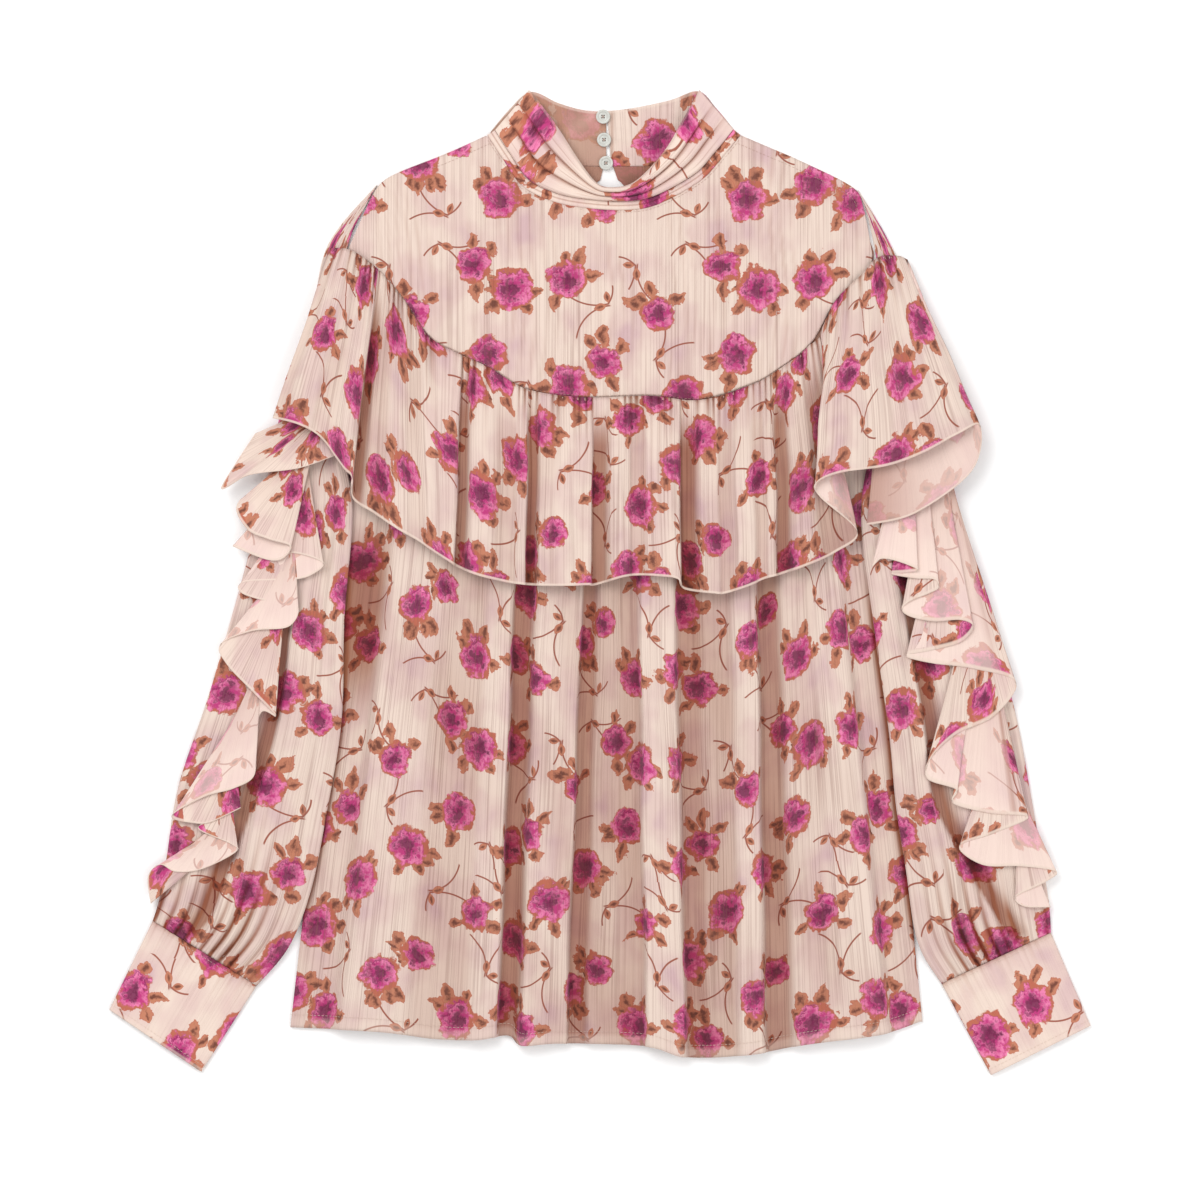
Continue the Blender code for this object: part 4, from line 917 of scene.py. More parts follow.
def build_band():
    """The narrow band round the neckline: a strip folded double, its seams turned in."""
    along = even(160)[:, None]
    across = even(9)
    over = np.concatenate((across, across[::-1]))[None, :]
    side = np.concatenate((np.ones(9), -np.ones(9)))[None, :]
    inward = mix(SEAM_GAP, BAND_WIDTH, over)
    flat = neck_points(along + 0 * over, inward[..., None])
    puff = arch(over) ** 0.5 * 0.75 - 0.3 * bell(over, 0.5, 0.09)
    tuck = gathers(along * 250, 3, 30, 71) * 0.3 * arch(over)
    points = joined(flat, FLAT_Z + side * (0.25 + puff) + np.where(side > 0, tuck, 0))
    around = unfolded(points, closed=True)
    cloth = np.stack(np.broadcast_arrays(along * 0.25, around[None, :] * MM + 0.09), axis=-1)
    shade = 0.55 * bell(over, 0.5, 0.08)
    shade = shade + 0.3 * (bell(over, 0, 0.1) + bell(over, 1, 0.1))
    lay_cloth("neckline_band", "neck_band", points, cloth, ["back_panel"], "smooth",
              held="folded", thickness=0.4, closed=True, shade=shade)


def pleat(share):
    """The profile of pleats that hang: each swells upwards, then slopes to the next one's foot."""
    return arch(share ** 0.55) ** 0.8


def build_collar():
    """The front collar drapes from the band to its rim in pleats that meet low in the middle."""
    share = even(190)[None, :]
    up = down_to_hem(100, COLLAR_DEPTH)[::-1, None]
    low = neck_points(share, BAND_WIDTH + SEAM_GAP)
    high = at_share(RIM, share)
    inside = ease(np.minimum(share, 1 - share) / 0.12)
    turns = COLLAR_PLEATS * up ** 0.95 + 0.16 * ripple(share * 190, 110, 5) * arch(up)
    turns = turns + 0.36 * (share - 0.5) * arch(up)
    in_pleat = turns % 1
    flat = mix(low, high, up[..., None])
    depth = sized("pleat_height") * (0.85 + 0.3 * ripple(share * 190 + 120 * up, 90, 8))
    soft = 0.16 * ripple(up * 60 + 12 * share, 6, 9, 3)
    height = sized("collar_rise") * up + depth * pleat(in_pleat) + soft
    rolled = 2.2 * ease((up - 0.93) / 0.07) ** 2
    points = joined(flat, COLLAR_FOOT_Z + inside * (height - rolled))
    middle = points[:, points.shape[1] // 2]
    fallen = lengths_along(middle)[:, None] * 1.35
    along = unfolded(points, 0.4)[None, :]
    cloth = np.stack(np.broadcast_arrays((fallen + 262) * MM, (along + 21) * MM), axis=-1)
    crease = 0.9 * bell(in_pleat, 0, 0.07) + 0.6 * ease((in_pleat - 0.66) / 0.34)
    thin = ease(ripple(share * 190 + 20 * turns, 80, 15) * 2)
    crease = crease + 0.4 * thin * bell(in_pleat, 0.42, 0.025)
    crease = crease * ease(up / 0.05) * (1 - 0.7 * ease((up - 0.86) / 0.06))
    lay_cloth("front_collar", "collar_front", points, cloth, ["neckline_band"], "smooth",
              held="draped", thickness=np.array([1, 1.6, 0.9, 0.5] + [0.5] * 100)[:, None],
              shade=np.clip(crease, 0, 1) * (0.35 + 0.65 * inside),
              hem=np.where(up > 0.955, 0.25, 0) + 0 * share)


def yoke_waves(flat):
    """Height of the yoke's soft swells."""
    total = 0
    for wave in YOKE_WAVES:
        across = (flat[..., 0] - wave["x"]) / wave["width"]
        along = (flat[..., 1] - wave["y"]) / wave["length"]
        total = total + wave["height"] * np.exp(-across ** 2 - along ** 2)
    return total


def build_yoke():
    """The yoke runs from the neckline and shoulders down to the flounce seam."""
    neck = neck_points(np.linspace(0.03, 0.97, 60), -SEAM_GAP)
    left = at_share(YOKE_LEFT[::-1], even(30))
    right = at_share(YOKE_RIGHT, even(30))
    top_edge = np.concatenate((left, neck, right))
    share = even(180)[None, :]
    down = even(64)[:, None]
    top = at_share(top_edge, share, smooth=0)
    low_x = mix(YOKE_LEFT[-1][0], YOKE_RIGHT[-1][0], share)
    low = np.stack((low_x, height_on(SEAM_LINE, low_x) + SEAM_GAP), axis=-1)
    flat = mix(top, low, down[..., None])
    x, y = flat[..., 0], flat[..., 1]
    to_seam = (1 - down) * np.linalg.norm(top - low, axis=-1)
    still = 1 - down ** 4
    lift = yoke_waves(flat) * still + 0.34 * wrinkles(x, y, 9, 21) * still
    lift = lift + 0.5 * gathers(x, to_seam, 14, 23)
    points = joined(flat, FLAT_Z + lift)
    cloth = np.stack((x + 400, y + 4), axis=-1) * MM
    shade = 0.25 * ease(1 - to_seam) + 0.22 * np.clip(-wrinkles(x, y, 9, 21), 0, 1)
    lay_cloth("front_yoke", "yoke_front", points, cloth, ["back_panel"], shade=shade)


def valleys(depth, lit, sharpness):
    """Shade between folds: none where they are as high as lit, full where they are flat."""
    return np.clip((lit - depth) / lit, 0, 1) ** sharpness


def sleeve_side(sections, y):
    """The x of a sleeve's inner edge at y."""
    places = np.linspace(0, len(sections) - 1, 90)
    edge = read(sections, "inner", places, "curve")
    return np.interp(-y, -edge[:, 1], edge[:, 0])


def build_body():
    """The front body hangs in folds from the flounce seam to its turned hem."""
    steps = 110
    place = places_along(BODY_FOLDS, 13)[None, :]
    down = down_to_hem(steps, BODY_LENGTH, sized("body_hem"))[:, None]
    x_top = read(BODY_FOLDS, "x_top", place)
    x_hem = read(BODY_FOLDS, "x_hem", place)
    y_top = np.minimum(height_on(SEAM_LINE, x_top) - BODY_TOP_DROP, BODY_TOP_Y)
    y = mix(y_top, height_on(HEM_LINE, x_hem), down)
    inside = arch(place / place.max())
    x = mix(x_top, x_hem, np.maximum(y / BODY_HEM_Y, STRAIGHT_ABOVE))
    x = x + inside * ripple(y + 26 * place, 190, 31, 3)
    growth = mix(FLAT_FOLDS, 1, ease((FOLDS_START_Y - y) / (FOLDS_START_Y - FOLDS_FULL_Y)))
    depth = read(BODY_FOLDS, "height", place, "crisp")
    depth = depth * (1 + 0.13 * ripple(y + 55 * place, 170, 33, 3))
    fine = sized("wrinkle_height") * wrinkles(x - 0.12 * y * x / 200, y, 8, 35) * 1.1
    points = joined(np.stack((x, y), axis=-1), FLAT_Z + depth * growth + fine * inside ** 0.3)
    cloth = cloth_map(unfolded(points, 0.8) + 22, down * BODY_LENGTH + 35)
    shade = valleys(depth, BODY_LIT, 1.35) * ease((60 - y) / 60)
    left_side = ease((1.9 - place) / 0.6) * ease((-50 - y) / 60)
    right_side = ease((place - 18) / 0.5)
    shade = shade * (1 - 0.86 * np.maximum(left_side, right_side))
    under_left = 0.8 * bell(x, sleeve_side(SLEEVE_LEFT, y), 2.6)
    under_right = 1.1 * bell(x, sleeve_side(SLEEVE_RIGHT, y), 3.4)
    shade = 0.9 * shade + (under_left + under_right) * ease((20 - y) / 60)
    lay_cloth("front_body", "body_front", points, cloth, ["back_panel"],
              thickness=np.array([0.5] * steps + [0.5, 1.1, 1.2, 1])[:, None],
              shade=np.clip(shade, 0, 1), hem=hem_mark(steps, 0.28))
    return points


def build_flounce():
    """The flounce is gathered into its seam and falls in flutes to a rolled hem."""
    steps = 46
    place = places_along(FLOUNCE_FOLDS, 8)[None, :]
    down = down_to_hem(steps, FLOUNCE_LENGTH, sized("hem_roll"))[:, None]
    seam_x = read(FLOUNCE_FOLDS, "seam", place)
    drop = read(FLOUNCE_FOLDS, "drop", place)
    edge = read(FLOUNCE_FOLDS, "edge", place, "curve")
    seam = np.stack((seam_x, height_on(SEAM_LINE, seam_x) + FLOUNCE_SEAM_LIFT - drop), axis=-1)
    left, right = FLOUNCE_AT_SLEEVES
    at_sleeve = ease(1 + np.maximum(left - seam_x, seam_x - right) / 12)
    flat = mix(seam, edge, down[..., None])
    sway = 1.3 * ripple(down * 130 + 9 * place, 110, 41, 3) * arch(down)
    flat = flat + np.stack((sway, 0 * sway), axis=-1)
    depth = read(FLOUNCE_FOLDS, "height", place, "crisp")
    depth = depth * (1 + 0.1 * ripple(down * 130 + 41 * place, 120, 43, 3))
    rise = np.sin(down * np.pi / 2) ** 0.8
    seam_z, edge_z = mix(*FLOUNCE_SEAM_Z, at_sleeve), mix(*FLOUNCE_EDGE_Z, at_sleeve)
    height = mix(seam_z, edge_z, rise) + depth * rise
    along = lengths_along(seam[0])[None, :]
    fallen = down * FLOUNCE_LENGTH
    bunched = ripple(along, sized("gather_pitch"), 45)
    tucks = 1.9 * gathers(along, fallen, 24, 45)
    fine = 0.4 * wrinkles(flat[..., 0], fallen, 7, 47) * arch(down) ** 0.5
    points = joined(flat, height + tucks + fine)
    cloth = cloth_map(unfolded(points, 0.75) + 130, fallen + 96)
    valley = valleys(depth, FLOUNCE_LIT, 1.5) * ease((down - 0.03) / 0.25)
    near = np.exp(-fallen / 16)
    lit = np.maximum(ease((place - 32) / 2), ease((1.1 - place) / 0.9))
    valley = valley * (1 - 0.85 * lit)
    shade = valley * 0.95 + 0.95 * near * ease((-0.12 - bunched) / 0.45)
    shade = shade + 0.15 * np.exp(-fallen / 1.2) + 0.5 * ease((place - 41.2) / 1.8)
    lay_cloth("flounce", "flounce_front", points, cloth,
              ["front_body", "left_sleeve", "right_sleeve"], held="gathered",
              thickness=hem_thickness(steps, sized("hem_roll")),
              shade=np.clip(shade, 0, 1), hem=hem_mark(steps))


def tube(flat, lower, upper, shade_below, shade, turned):
    """A flat tube's lower and upper cloth as one ring, turned round on the right sleeve."""
    points = np.concatenate((joined(flat, lower), joined(flat, upper)[:, ::-1]), axis=1)
    shade = np.concatenate((shade_below + 0 * shade, shade[:, ::-1]), axis=1)
    return (points[:, ::-1], shade[:, ::-1]) if turned else (points, shade)


def build_sleeve(name, node, sections, tuck_line, seed, turned):
    """A sleeve is a flat tube, open at the armhole and sewn to its cuff at the wrist."""
    place = places_along(sections, 8)[:, None]
    across = even(84)[None, :]
    inner = read(sections, "inner", place, "curve")
    outer = read(sections, "outer", place, "curve")
    width = np.linalg.norm(outer - inner, axis=-1)
    middle = (inner + outer)[:, 0] / 2
    fallen = lengths_along(middle)[:, None]
    to_cuff = fallen[-1] - fallen
    flat = mix(inner, outer, across[..., None])
    lap = read(sections, "lap", place)
    lap_z = read(sections, "lap_z", place, "level")
    lower = mix(lap_z, BACK_Z, ease((across * width - lap - 2) / 7))
    fullness = read(sections, "height", place) - 3
    tuck = between(tuck_line, place, "curve")
    moved = across + (0.47 - tuck) * arch(across)
    in_folds = np.interp(moved, column(SLEEVE_FOLDS, "across"), np.arange(len(SLEEVE_FOLDS)))
    fold = read(SLEEVE_FOLDS, "height", in_folds, "curve")
    grown = ease((place - SLEEVE_FOLDS_FROM) / SLEEVE_FOLDS_GROW)
    grown = grown * ease((place.max() - place) / SLEEVE_FOLDS_FADE)
    upper = lower + 2 + fullness * arch(across) ** 0.35 * 0.6
    soft = arch(across) ** 0.5
    drag = 0.9 * ripple(across * width * 0.6 + fallen * 0.5, 34, seed + 3)
    bunched = ripple(across * 78 + 0.05 * to_cuff, sized("gather_pitch") * 1.7, seed)
    tucks = 3.4 * bunched * np.exp(-to_cuff / 44) * ease(to_cuff / 5) * soft
    fine = 0.35 * wrinkles(across * width, fallen, 8, seed + 5) * soft
    valley = ease((across - tuck) / 0.02) * (1 - ease((across - tuck - 0.08) / 0.11))
    valley = 0.86 * valley * ease((place - SLEEVE_FOLDS_FROM) / 2)
    step = 1.5 * np.exp(-np.maximum(tuck - across, 0) / 0.06) * (across <= tuck) - valley
    upper = upper + (fold + drag * soft + step) * grown
    upper = np.maximum(upper, lower + 1.8) + tucks + fine
    bunches = np.exp(-(to_cuff / 52) ** 1.5) * np.clip(-0.04 - bunched, 0, 1)
    shade = valley * ease(to_cuff / 14) + 1.7 * bunches
    points, shade = tube(flat, lower, upper, 0.2, np.clip(shade, 0, 1), turned)
    cloth = cloth_map(unfolded(points, 0.6, closed=True) + seed, fallen + seed * 3)
    lay_cloth(name, node, points, cloth, ["floor"], closed=True, shade=shade)


def build_cuff(name, node, edges, seed, turned):
    """A cuff is a flat tube from the gathered wrist seam to its opening."""
    steps = 26
    down = down_to_hem(steps, CUFF_DEPTH)[:, None]
    across = even(50)[None, :]
    wrist, opening = np.array(edges[0]), np.array(edges[1])
    run = (wrist - opening) / np.linalg.norm(wrist - opening, axis=-1, keepdims=True)
    wrist = wrist + 0.42 * run
    inner = mix(wrist[0], opening[0], down[..., None])
    outer = mix(wrist[1], opening[1], down[..., None])
    flat = mix(inner, outer, across[..., None])
    wide = np.linalg.norm(wrist[1] - wrist[0])
    fallen = down * CUFF_DEPTH
    swell = arch(across) ** 0.3
    half = sized("cuff_height") / 2 - 0.3
    tucks = 0.9 * gathers(across * wide, fallen + 1, 16, seed) * swell
    waves = 0.35 * wrinkles(across * wide, fallen, 9, seed + 4) * swell
    upper = half + 0.6 + half * swell * (1 + 0.1 * ripple(across * wide, 45, seed + 7))
    lower = half + 0.6 - half * swell
    shade = 0.45 * np.exp(-fallen / 1.6) + 0.35 * np.exp(-fallen / 12) * np.clip(
        -ripple(across * wide, sized("gather_pitch"), seed), 0, 1)
    points, shade = tube(flat, lower + 0 * tucks, upper + tucks + waves, 0.4, shade, turned)
    cloth = cloth_map(unfolded(points, 0.6, closed=True) + seed * 5, fallen + seed * 9)
    lay_cloth(name, node, points, cloth, ["floor"], "smooth", closed=True,
              thickness=hem_thickness(steps, 1), shade=shade, hem=hem_mark(steps, 0.5))
    return points


def build_ruffle(name, node, seam_line, turns, face_up, seed, turned, rests_on):
    """A cascade ruffle: a strip that falls from its seam to a free edge turning back and forth."""
    steps = 32
    place = places_along(turns, 8)[None, :]
    out = down_to_hem(steps, RUFFLE_LENGTH, sized("hem_roll") * 0.8)[:, None]
    down = read(turns, "along", place) / lengths_along(seam_line)[-1]
    seam = at_share(seam_line, down, smooth=0)
    edge = read(turns, "edge", place, "curve")
    edge_z = read(turns, "z", place, "curve")
    flat = mix(seam, edge, out[..., None])
    height = mix(mix(*RUFFLE_SEAM_Z, down), edge_z, out ** 0.5)
    fine = 0.22 * wrinkles(place * 9, out * RUFFLE_LENGTH, 8, seed) * arch(out)
    points = joined(flat, height + fine)
    shade = 0.5 * np.exp(-out / 0.06) + 0.32 * (1 - out) ** 1.5
    printed = 0 * (place + out)
    for start, end in face_up:
        printed = printed + ease((place - start) / 0.12) * ease((end - place) / 0.12)
        shade = shade + 0.5 * bell(place, start, 0.05)
    reach = np.linalg.norm(edge - seam, axis=-1)
    if turned:
        points, printed, shade, reach = (grid[:, ::-1] for grid in (points, printed, shade, reach))
    cloth = cloth_map(unfolded(points, 0.8) + seed * 7, out * reach + seed * 4)
    lay_cloth(name, node, points, cloth, rests_on, "ruffle", "ruffle_chiffon", "gathered",
              hem_thickness(steps, sized("hem_roll") * 0.8), shade=shade, hem=hem_mark(steps),
              printed=np.clip(printed, 0, 1))


# --- Buttons and stitches --------------------------------------------------------------------

BUTTON_CENTRES = ((2.2, 335.2), (2.9, 318.6), (4.3, 301.8))
BUTTON_SEAT_Z = 1.6
BUTTON_EDGE_RADIUS = 0.7  # of the round edge below
BUTTON_RIM_RADIUS = 0.55  # and of the one above
BUTTON_DISH_DEPTH = 0.7
BUTTON_HOLE_RADIUS = 0.55
BUTTON_HOLE_OFFSET = 1.1  # from the button's middle to each hole's
THREAD_OVER_BUTTON = 0.2  # radius of the doubled thread
STITCH_Z = FLAT_Z + 0.45  # middle of a stitch on the yoke's face


def turned(name, outline, centre, steps=48):
    """A closed turned shape, from an outline of radii and heights that ends on its axis."""
    work = bmesh.new()
    line = [work.verts.new(Vector((radius, 0, height)) * MM) for radius, height in outline]
    edges = [work.edges.new(pair) for pair in zip(line, line[1:])]
    bmesh.ops.spin(work, geom=line + edges, axis=(0, 0, 1), cent=(0, 0, 0),
                   steps=steps, angle=math.tau, use_merge=True)
    bmesh.ops.remove_doubles(work, verts=work.verts, dist=0.002 * MM)
    bmesh.ops.recalc_face_normals(work, faces=work.faces)
    for vert in work.verts:
        vert.co += Vector(centre) * MM
    mesh = bpy.data.meshes.new(name)
    work.to_mesh(mesh)
    work.free()
    mesh.shade_smooth()
    return finished(name, mesh)


def button_outline():
    """A flat back, a round edge and rim, and a dish with a fine ring round its holes."""
    radius, height = sized("button_radius"), sized("button_height")
    low, top = BUTTON_EDGE_RADIUS, BUTTON_RIM_RADIUS
    turns = np.linspace(0, math.pi / 2, 6)
    edge = [(radius - low + low * math.sin(turn), low - low * math.cos(turn)) for turn in turns]
    rim = [(radius - top + top * math.cos(turn), height - top + top * math.sin(turn))
           for turn in turns]
    dish = [(3.75, height), (3.55, height - 0.1), (3.25, height - 0.55), (3.1, height - 0.62),
            (2.45, height - 0.6), (2.3, height - 0.52), (2.1, height - 0.6),
            (0.9, height - BUTTON_DISH_DEPTH), (0, height - BUTTON_DISH_DEPTH)]
    return [(0, 0)] + edge + rim + dish


def build_button(name, node, centre):
    """A four-hole pearl button, sewn through its holes with a cross of thread."""
    piece = turned(name, button_outline(), (*centre, BUTTON_SEAT_Z))
    height = sized("button_height")
    pins = []
    for number in range(4):
        turn = math.tau * (number + 0.5) / 4
        spot = (centre[0] + BUTTON_HOLE_OFFSET * math.cos(turn),
                centre[1] + BUTTON_HOLE_OFFSET * math.sin(turn), BUTTON_SEAT_Z)
        pins.append(turned("pin", [(0, -1), (BUTTON_HOLE_RADIUS, -1),
                                   (BUTTON_HOLE_RADIUS, height + 1), (0, height + 1)],
                           spot, steps=16))
        cut = piece.modifiers.new("Hole", "BOOLEAN")
        cut.operation = "DIFFERENCE"
        cut.solver = "EXACT"
        cut.object = pins[-1]
    mesh = baked(piece)
    for pin in pins:
        bpy.data.objects.remove(pin)
    mesh.shade_smooth()
    mesh.set_sharp_from_angle(angle=math.radians(35))
    mesh.materials.clear()
    mesh.materials.append(finish_for("pearl"))
    piece = finished(name, mesh)
    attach(piece, "root")
    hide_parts(node)


def build_button_threads():
    """Two strands of thread cross over each button and go down its holes to the cloth."""
    dish = BUTTON_SEAT_Z + sized("button_height") - BUTTON_DISH_DEPTH
    strands = []
    for x, y in BUTTON_CENTRES:
        for turn, lift in ((0.25, 0.28), (0.75, 0.62)):
            run = Vector((math.cos(math.pi * turn), math.sin(math.pi * turn), 0))
            path = ((-1, -1.2), (-1, -0.1), (-0.8, lift * 0.8), (0, lift),
                    (0.8, lift * 0.8), (1, -0.1), (1, -1.2))
            strands.append([Vector((x, y, dish + height)) + run * BUTTON_HOLE_OFFSET * across
                            for across, height in path])
    curve = curve_through("button_threads", strands)
    curve.bevel_depth = THREAD_OVER_BUTTON * MM
    curve.bevel_resolution = 2
    curve.use_fill_caps = True
    mesh = baked(finished("button_threads", curve))
    mesh.materials.clear()
    mesh.materials.append(finish_for("thread"))
    sewn_on(mesh)


def stitch_tree():
    """Geometry Nodes: a small stitch at every pitch along a curve."""
    tree = bpy.data.node_groups.new("Stitches", "GeometryNodeTree")
    tree.interface.new_socket("Line", in_out="INPUT", socket_type="NodeSocketGeometry")
    for name in ("Pitch", "Stitch Length", "Thread Radius"):
        tree.interface.new_socket(name, in_out="INPUT", socket_type="NodeSocketFloat")
    tree.interface.new_socket("Thread", in_out="INPUT", socket_type="NodeSocketMaterial")
    tree.interface.new_socket("Stitches", in_out="OUTPUT", socket_type="NodeSocketGeometry")
    line, pitch, length, radius, thread = add(tree, "NodeGroupInput").node.outputs[:5]
    points = add(tree, "GeometryNodeCurveToPoints", {"Curve": line, "Length": pitch},
                 mode="LENGTH")
    half = add(tree, "Math MULTIPLY", (length, 0.5))
    size = add(tree, "CombineXYZ", (radius, radius, half))
    ball = add(tree, "GeometryNodeMeshUVSphere", (6, 5, 1))
    stitch = add(tree, "GeometryNodeTransform", {"Geometry": ball, "Scale": size})
    placed = add(tree, "GeometryNodeInstanceOnPoints", {
        "Points": points, "Rotation": points.node.outputs["Rotation"], "Instance": stitch})
    real = add(tree, "GeometryNodeRealizeInstances", (placed,))
    named = add(tree, "GeometryNodeSetMaterial", {"Geometry": real, "Material": thread})
    add(tree, "NodeGroupOutput", (named,))
    return tree


def sewn_on(mesh):
    """Puts the mesh of threads or stitches on the blouse."""
    mesh.shade_smooth()
    piece = finished(mesh.name, mesh)
    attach(piece, "root")


def build_stitches(name, lines, thread="thread"):
    """Rows of stitches along lines of points in millimetres."""
    tree = bpy.data.node_groups.get("Stitches") or stitch_tree()
    line = finished(name, curve_through(name, lines))
    rows = line.modifiers.new("Stitches", "NODES")
    rows.node_group = tree
    values = {"Pitch": sized("stitch_pitch") * MM, "Stitch Length": sized("stitch_length") * MM,
              "Thread Radius": sized("thread_radius") * MM, "Thread": finish_for(thread)}
    for item in tree.interface.items_tree:
        if item.in_out == "INPUT" and item.name in values:
            rows[item.identifier] = values[item.name]
    sewn_on(baked(line))


# --- The add-on ------------------------------------------------------------------------------


def size(name, description, millimetres):
    return bpy.props.FloatProperty(name=name, description=description, default=millimetres * MM,
                                   min=0, unit="LENGTH", precision=5)


def colour(name, description, code):
    return bpy.props.FloatVectorProperty(name=name, description=description, size=4,
                                         default=linear(code), min=0, max=1, subtype="COLOR")


class BlouseSizes(bpy.types.PropertyGroup):
    """Sizes of the cloth, its trimmings and its print."""
    thickness: size("Cloth", "Thickness of the drawn cloth", 0.5)
    hem_roll: size("Rolled hem", "Thickness of the rolled hems of flounce and ruffles", 1.5)
    body_hem: size("Body hem", "Depth of the turned hem of the body", 5.8)
    gather_pitch: size("Gather pitch", "Distance between two gathers at a seam", 5)
    gather_height: size("Gather height", "Height of the gathers at a seam", 1.1)
    wrinkle_height: size("Wrinkle height", "Height of the fine wrinkles of the body", 0.4)
    pleat_height: size("Collar pleats", "Height of the collar's pleats", 3.2)
    collar_rise: size("Collar rise", "How far the collar's rim stands above the band", 7)
    cuff_height: size("Cuff height", "Height of a cuff that lies flat", 4)
    button_radius: size("Button radius", "Radius of a nape button", 5.1)
    button_height: size("Button height", "Height of a nape button", 2.2)
    stitch_pitch: size("Stitch pitch", "Distance from one stitch to the next", 2.8)
    stitch_length: size("Stitch length", "Length of one stitch", 2.1)
    thread_radius: size("Thread radius", "Radius of the sewing thread", 0.14)
    repeat_width: size("Repeat width", "Width of the print's repeat", 178)
    repeat_length: size("Repeat length", "Length of the print's repeat", 260)
    rose_radius: size("Rose radius", "Radius of a middling rose of the print", 14.6)


class BlouseColours(bpy.types.PropertyGroup):
    """Colours of the print."""
    cream: colour("Ground", "Ground of the print", "#EFD9CB")
    cream_pink: colour("Pink ground", "Ground where the layer below shows through", "#E6CAC1")
    stain: colour("Stain", "Print of the layer below, seen through the cloth", "#CFA9B2")
    rose_bright: colour("Rose", "Light petals", "#F286B2")
    rose_deep: colour("Deep rose", "Dark petals", "#C43C7E")
    rose_heart: colour("Rose heart", "Middle of a rose", "#64183F")
    rust: colour("Rust", "Fringe of a rose and rim of a leaf", "#C06C56")
    leaf: colour("Leaf", "Light part of a leaf", "#C88266")
    leaf_core: colour("Leaf core", "Middle of a leaf", "#784638")
    twig: colour("Twig", "Twigs", "#A4604E")


class BLOUSE_OT_back(bpy.types.Operator):
    """Builds the back panel with its keyhole and the two halves of the back collar"""
    bl_idname = "blouse.back"
    bl_label = "Back"

    def execute(self, context):
        build_back()
        build_back_collar(
            "back_collar_left_half", BACK_COLLAR_LEFT, "collar_back_left", "chiffon_inner_face",
            "inner", nape_shade_left, 3)
        build_back_collar(
            "back_collar_right_half", BACK_COLLAR_RIGHT, "collar_back_right", "floral_chiffon",
            "outer", nape_shade_right, 8)
        return {"FINISHED"}


class BLOUSE_OT_neck(bpy.types.Operator):
    """Builds the neck band and the draped front collar"""
    bl_idname = "blouse.neck"
    bl_label = "Neck band and collar"

    def execute(self, context):
        build_band()
        build_collar()
        return {"FINISHED"}


class BLOUSE_OT_body(bpy.types.Operator):
    """Builds the yoke and the folded front body with the stitches of its hem"""
    bl_idname = "blouse.body"
    bl_label = "Yoke and body"

    def execute(self, context):
        build_yoke()
        above_hem = build_body()[-4] + np.array((0, 1, 0.55))
        build_stitches("hem_stitches", [above_hem.tolist()], "pale_thread")
        return {"FINISHED"}


class BLOUSE_OT_sleeves(bpy.types.Operator):
    """Builds the sleeves and their cuffs"""
    bl_idname = "blouse.sleeves"
    bl_label = "Sleeves and cuffs"

    def execute(self, context):
        build_sleeve("left_sleeve", "sleeve_left", SLEEVE_LEFT, SLEEVE_TUCK_LEFT, 40, False)
        build_sleeve("right_sleeve", "sleeve_right", SLEEVE_RIGHT, SLEEVE_TUCK_RIGHT, 90, True)
        lines = []
        for points in (build_cuff("left_cuff", "cuff_left", CUFF_LEFT, 13, False),
                       build_cuff("right_cuff", "cuff_right", CUFF_RIGHT, 29, True)):
            # the half of the ring that lies on top, with the stitches next to its two edges
            upper = points[:, 50:] if points[0, 0, 2] < points[0, -26, 2] else points[:, :50]
            lines += [(upper[1] + np.array((0, 0, 0.35))).tolist(),
                      (upper[-5] + np.array((0, 0, 0.35))).tolist()]
        build_stitches("cuff_stitches", lines, "pale_thread")
        return {"FINISHED"}


class BLOUSE_OT_flounce(bpy.types.Operator):
    """Builds the gathered flounce and the stitched seams of yoke, shoulders and neckline"""
    bl_idname = "blouse.flounce"
    bl_label = "Flounce and seams"

    def execute(self, context):
        build_flounce()
        share = even(240)
        seam = joined(at_share(FLOUNCE_SEAM, share) + np.array((0, 1.3)),
                      np.where(np.abs(share - 0.5) < 0.44, FLAT_Z + 0.5, FLAT_Z + 1.4))
        neck = joined(neck_points(np.linspace(0.02, 0.98, 160), -1.6), STITCH_Z)
        shoulders = [joined(at_share(np.array(edge[:5]) + np.array(shift), np.linspace(
            0.02, 0.98, 80)), STITCH_Z) for edge, shift in
            ((YOKE_LEFT, (3, -5.6)), (YOKE_RIGHT, (-3, -5.6)))]
        lines = [seam[26:-40], neck] + shoulders
        build_stitches("seam_stitches", [line.tolist() for line in lines])
        return {"FINISHED"}


class BLOUSE_OT_ruffles(bpy.types.Operator):
    """Builds the cascade ruffles of the sleeves"""
    bl_idname = "blouse.ruffles"
    bl_label = "Sleeve ruffles"

    def execute(self, context):
        build_ruffle("left_sleeve_ruffle", "sleeve_ruffle_left", RUFFLE_SEAM_LEFT, RUFFLE_LEFT, (),
                     51, False, ["left_sleeve"])
        build_ruffle("right_sleeve_ruffle", "sleeve_ruffle_right", RUFFLE_SEAM_RIGHT,
                     RUFFLE_RIGHT, RUFFLE_RIGHT_FACES, 63, True, ["right_sleeve"])
        return {"FINISHED"}


class BLOUSE_OT_buttons(bpy.types.Operator):
    """Builds the three nape buttons and their threads"""
    bl_idname = "blouse.buttons"
    bl_label = "Buttons"

    def execute(self, context):
        for number, centre in enumerate(BUTTON_CENTRES, start=1):
            build_button(f"nape_button_{number}", f"button_{number}", centre)
        build_button_threads()
        return {"FINISHED"}


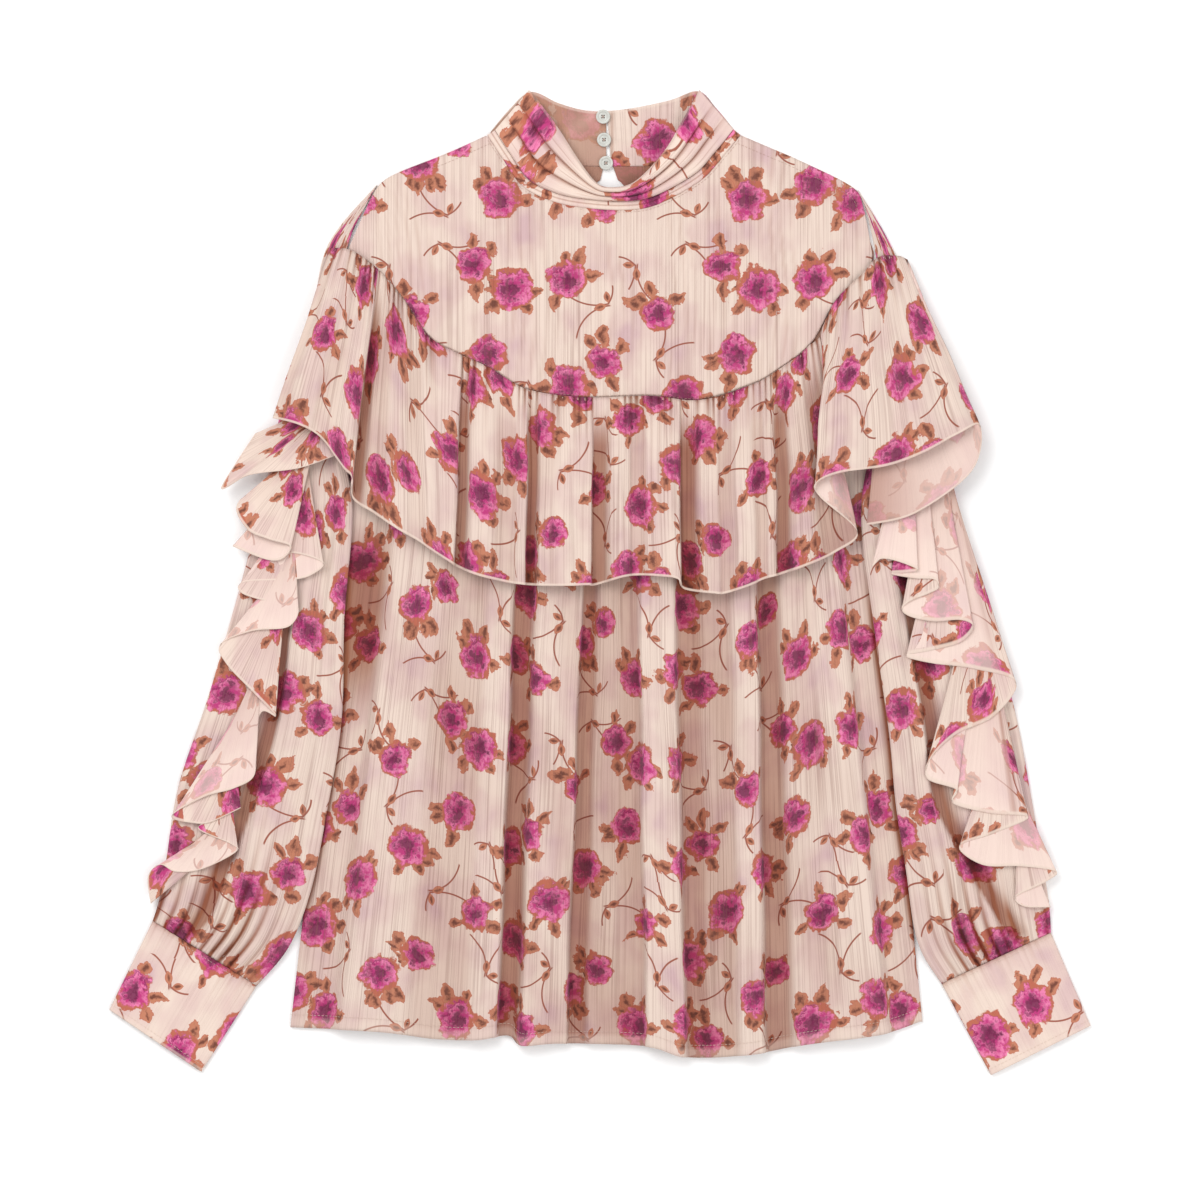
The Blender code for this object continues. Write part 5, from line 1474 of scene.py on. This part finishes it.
FRAME_WIDTH = 864  # width of the photograph on the surface
FRAME_CENTRE_Y = -12.6
SENSOR_WIDTH = 36
SKY_STRENGTH = 0.75
CAMERA_HEIGHT = 5000  # so far up that the view is nearly flat, as the photograph's is
FLOOR_SIZE = 2000
FLOOR_Z = -0.1  # just under the cloth
# Square lights: place and side in metres, power in watts
LIGHTS = (("key light", (-0.9, 1.1, 1.9), 1.4, 25), ("fill light", (1.3, -0.6, 1.8), 1.6, 12))


class BLOUSE_OT_stage(bpy.types.Operator):
    """Builds the white floor, the soft studio light and the camera straight above"""
    bl_idname = "blouse.stage"
    bl_label = "Stage"

    def execute(self, context):
        scene = context.scene
        floor = bpy.data.meshes.new("floor")
        floor.from_pydata([Vector((x * FLOOR_SIZE, y * FLOOR_SIZE, FLOOR_Z)) * MM for x, y in
                           ((-1, -1), (1, -1), (1, 1), (-1, 1))], [], [(0, 1, 2, 3)])
        floor.materials.append(finish_for("paper"))
        finished("floor", floor)
        for name, place, side, power in LIGHTS:
            light = bpy.data.lights.new(name, "AREA")
            light.size = side
            light.energy = power
            lamp = bpy.data.objects.new(name, light)
            lamp.location = place
            lamp.rotation_euler = (-Vector(place)).to_track_quat("-Z", "Y").to_euler()
            scene.collection.objects.link(lamp)
        scene.world = bpy.data.worlds.new("pale studio")
        scene.world.use_nodes = True
        sky = scene.world.node_tree.nodes["Background"]
        sky.inputs["Color"].default_value = (1, 1, 1, 1)
        sky.inputs["Strength"].default_value = SKY_STRENGTH
        camera = bpy.data.objects.new("camera", bpy.data.cameras.new("camera"))
        camera.location = (0, FRAME_CENTRE_Y * MM, CAMERA_HEIGHT * MM)
        camera.data.sensor_width = SENSOR_WIDTH
        camera.data.lens = SENSOR_WIDTH * CAMERA_HEIGHT / FRAME_WIDTH
        scene.collection.objects.link(camera)
        scene.camera = camera
        scene.view_settings.view_transform = "Standard"
        return {"FINISHED"}


class BLOUSE_PT_panel(bpy.types.Panel):
    """Lists the sizes, the colours and the steps of the build"""
    bl_idname = "BLOUSE_PT_panel"
    bl_label = "Blouse"
    bl_space_type = "VIEW_3D"
    bl_region_type = "UI"
    bl_category = "Blouse"

    def draw(self, context):
        layout = self.layout
        for group in (context.scene.blouse_sizes, context.scene.blouse_colours):
            for name in group.__annotations__:
                layout.prop(group, name)
        for operator in STEPS:
            layout.operator(operator.bl_idname)


STEPS = (BLOUSE_OT_back, BLOUSE_OT_body, BLOUSE_OT_neck, BLOUSE_OT_sleeves, BLOUSE_OT_ruffles,
         BLOUSE_OT_flounce, BLOUSE_OT_buttons, BLOUSE_OT_stage)
CLASSES = (BlouseSizes, BlouseColours) + STEPS + (BLOUSE_PT_panel,)


def register():
    for each in CLASSES:
        bpy.utils.register_class(each)
    bpy.types.Scene.blouse_sizes = bpy.props.PointerProperty(type=BlouseSizes)
    bpy.types.Scene.blouse_colours = bpy.props.PointerProperty(type=BlouseColours)


def unregister():
    del bpy.types.Scene.blouse_colours
    del bpy.types.Scene.blouse_sizes
    for each in reversed(CLASSES):
        bpy.utils.unregister_class(each)


def main():
    register()
    bpy.ops.blouse.stage()
    bpy.ops.blouse.back()
    bpy.ops.blouse.body()
    bpy.ops.blouse.neck()
    bpy.ops.blouse.sleeves()
    bpy.ops.blouse.ruffles()
    bpy.ops.blouse.flounce()
    bpy.ops.blouse.buttons()


if __name__ == "__main__":
    main()
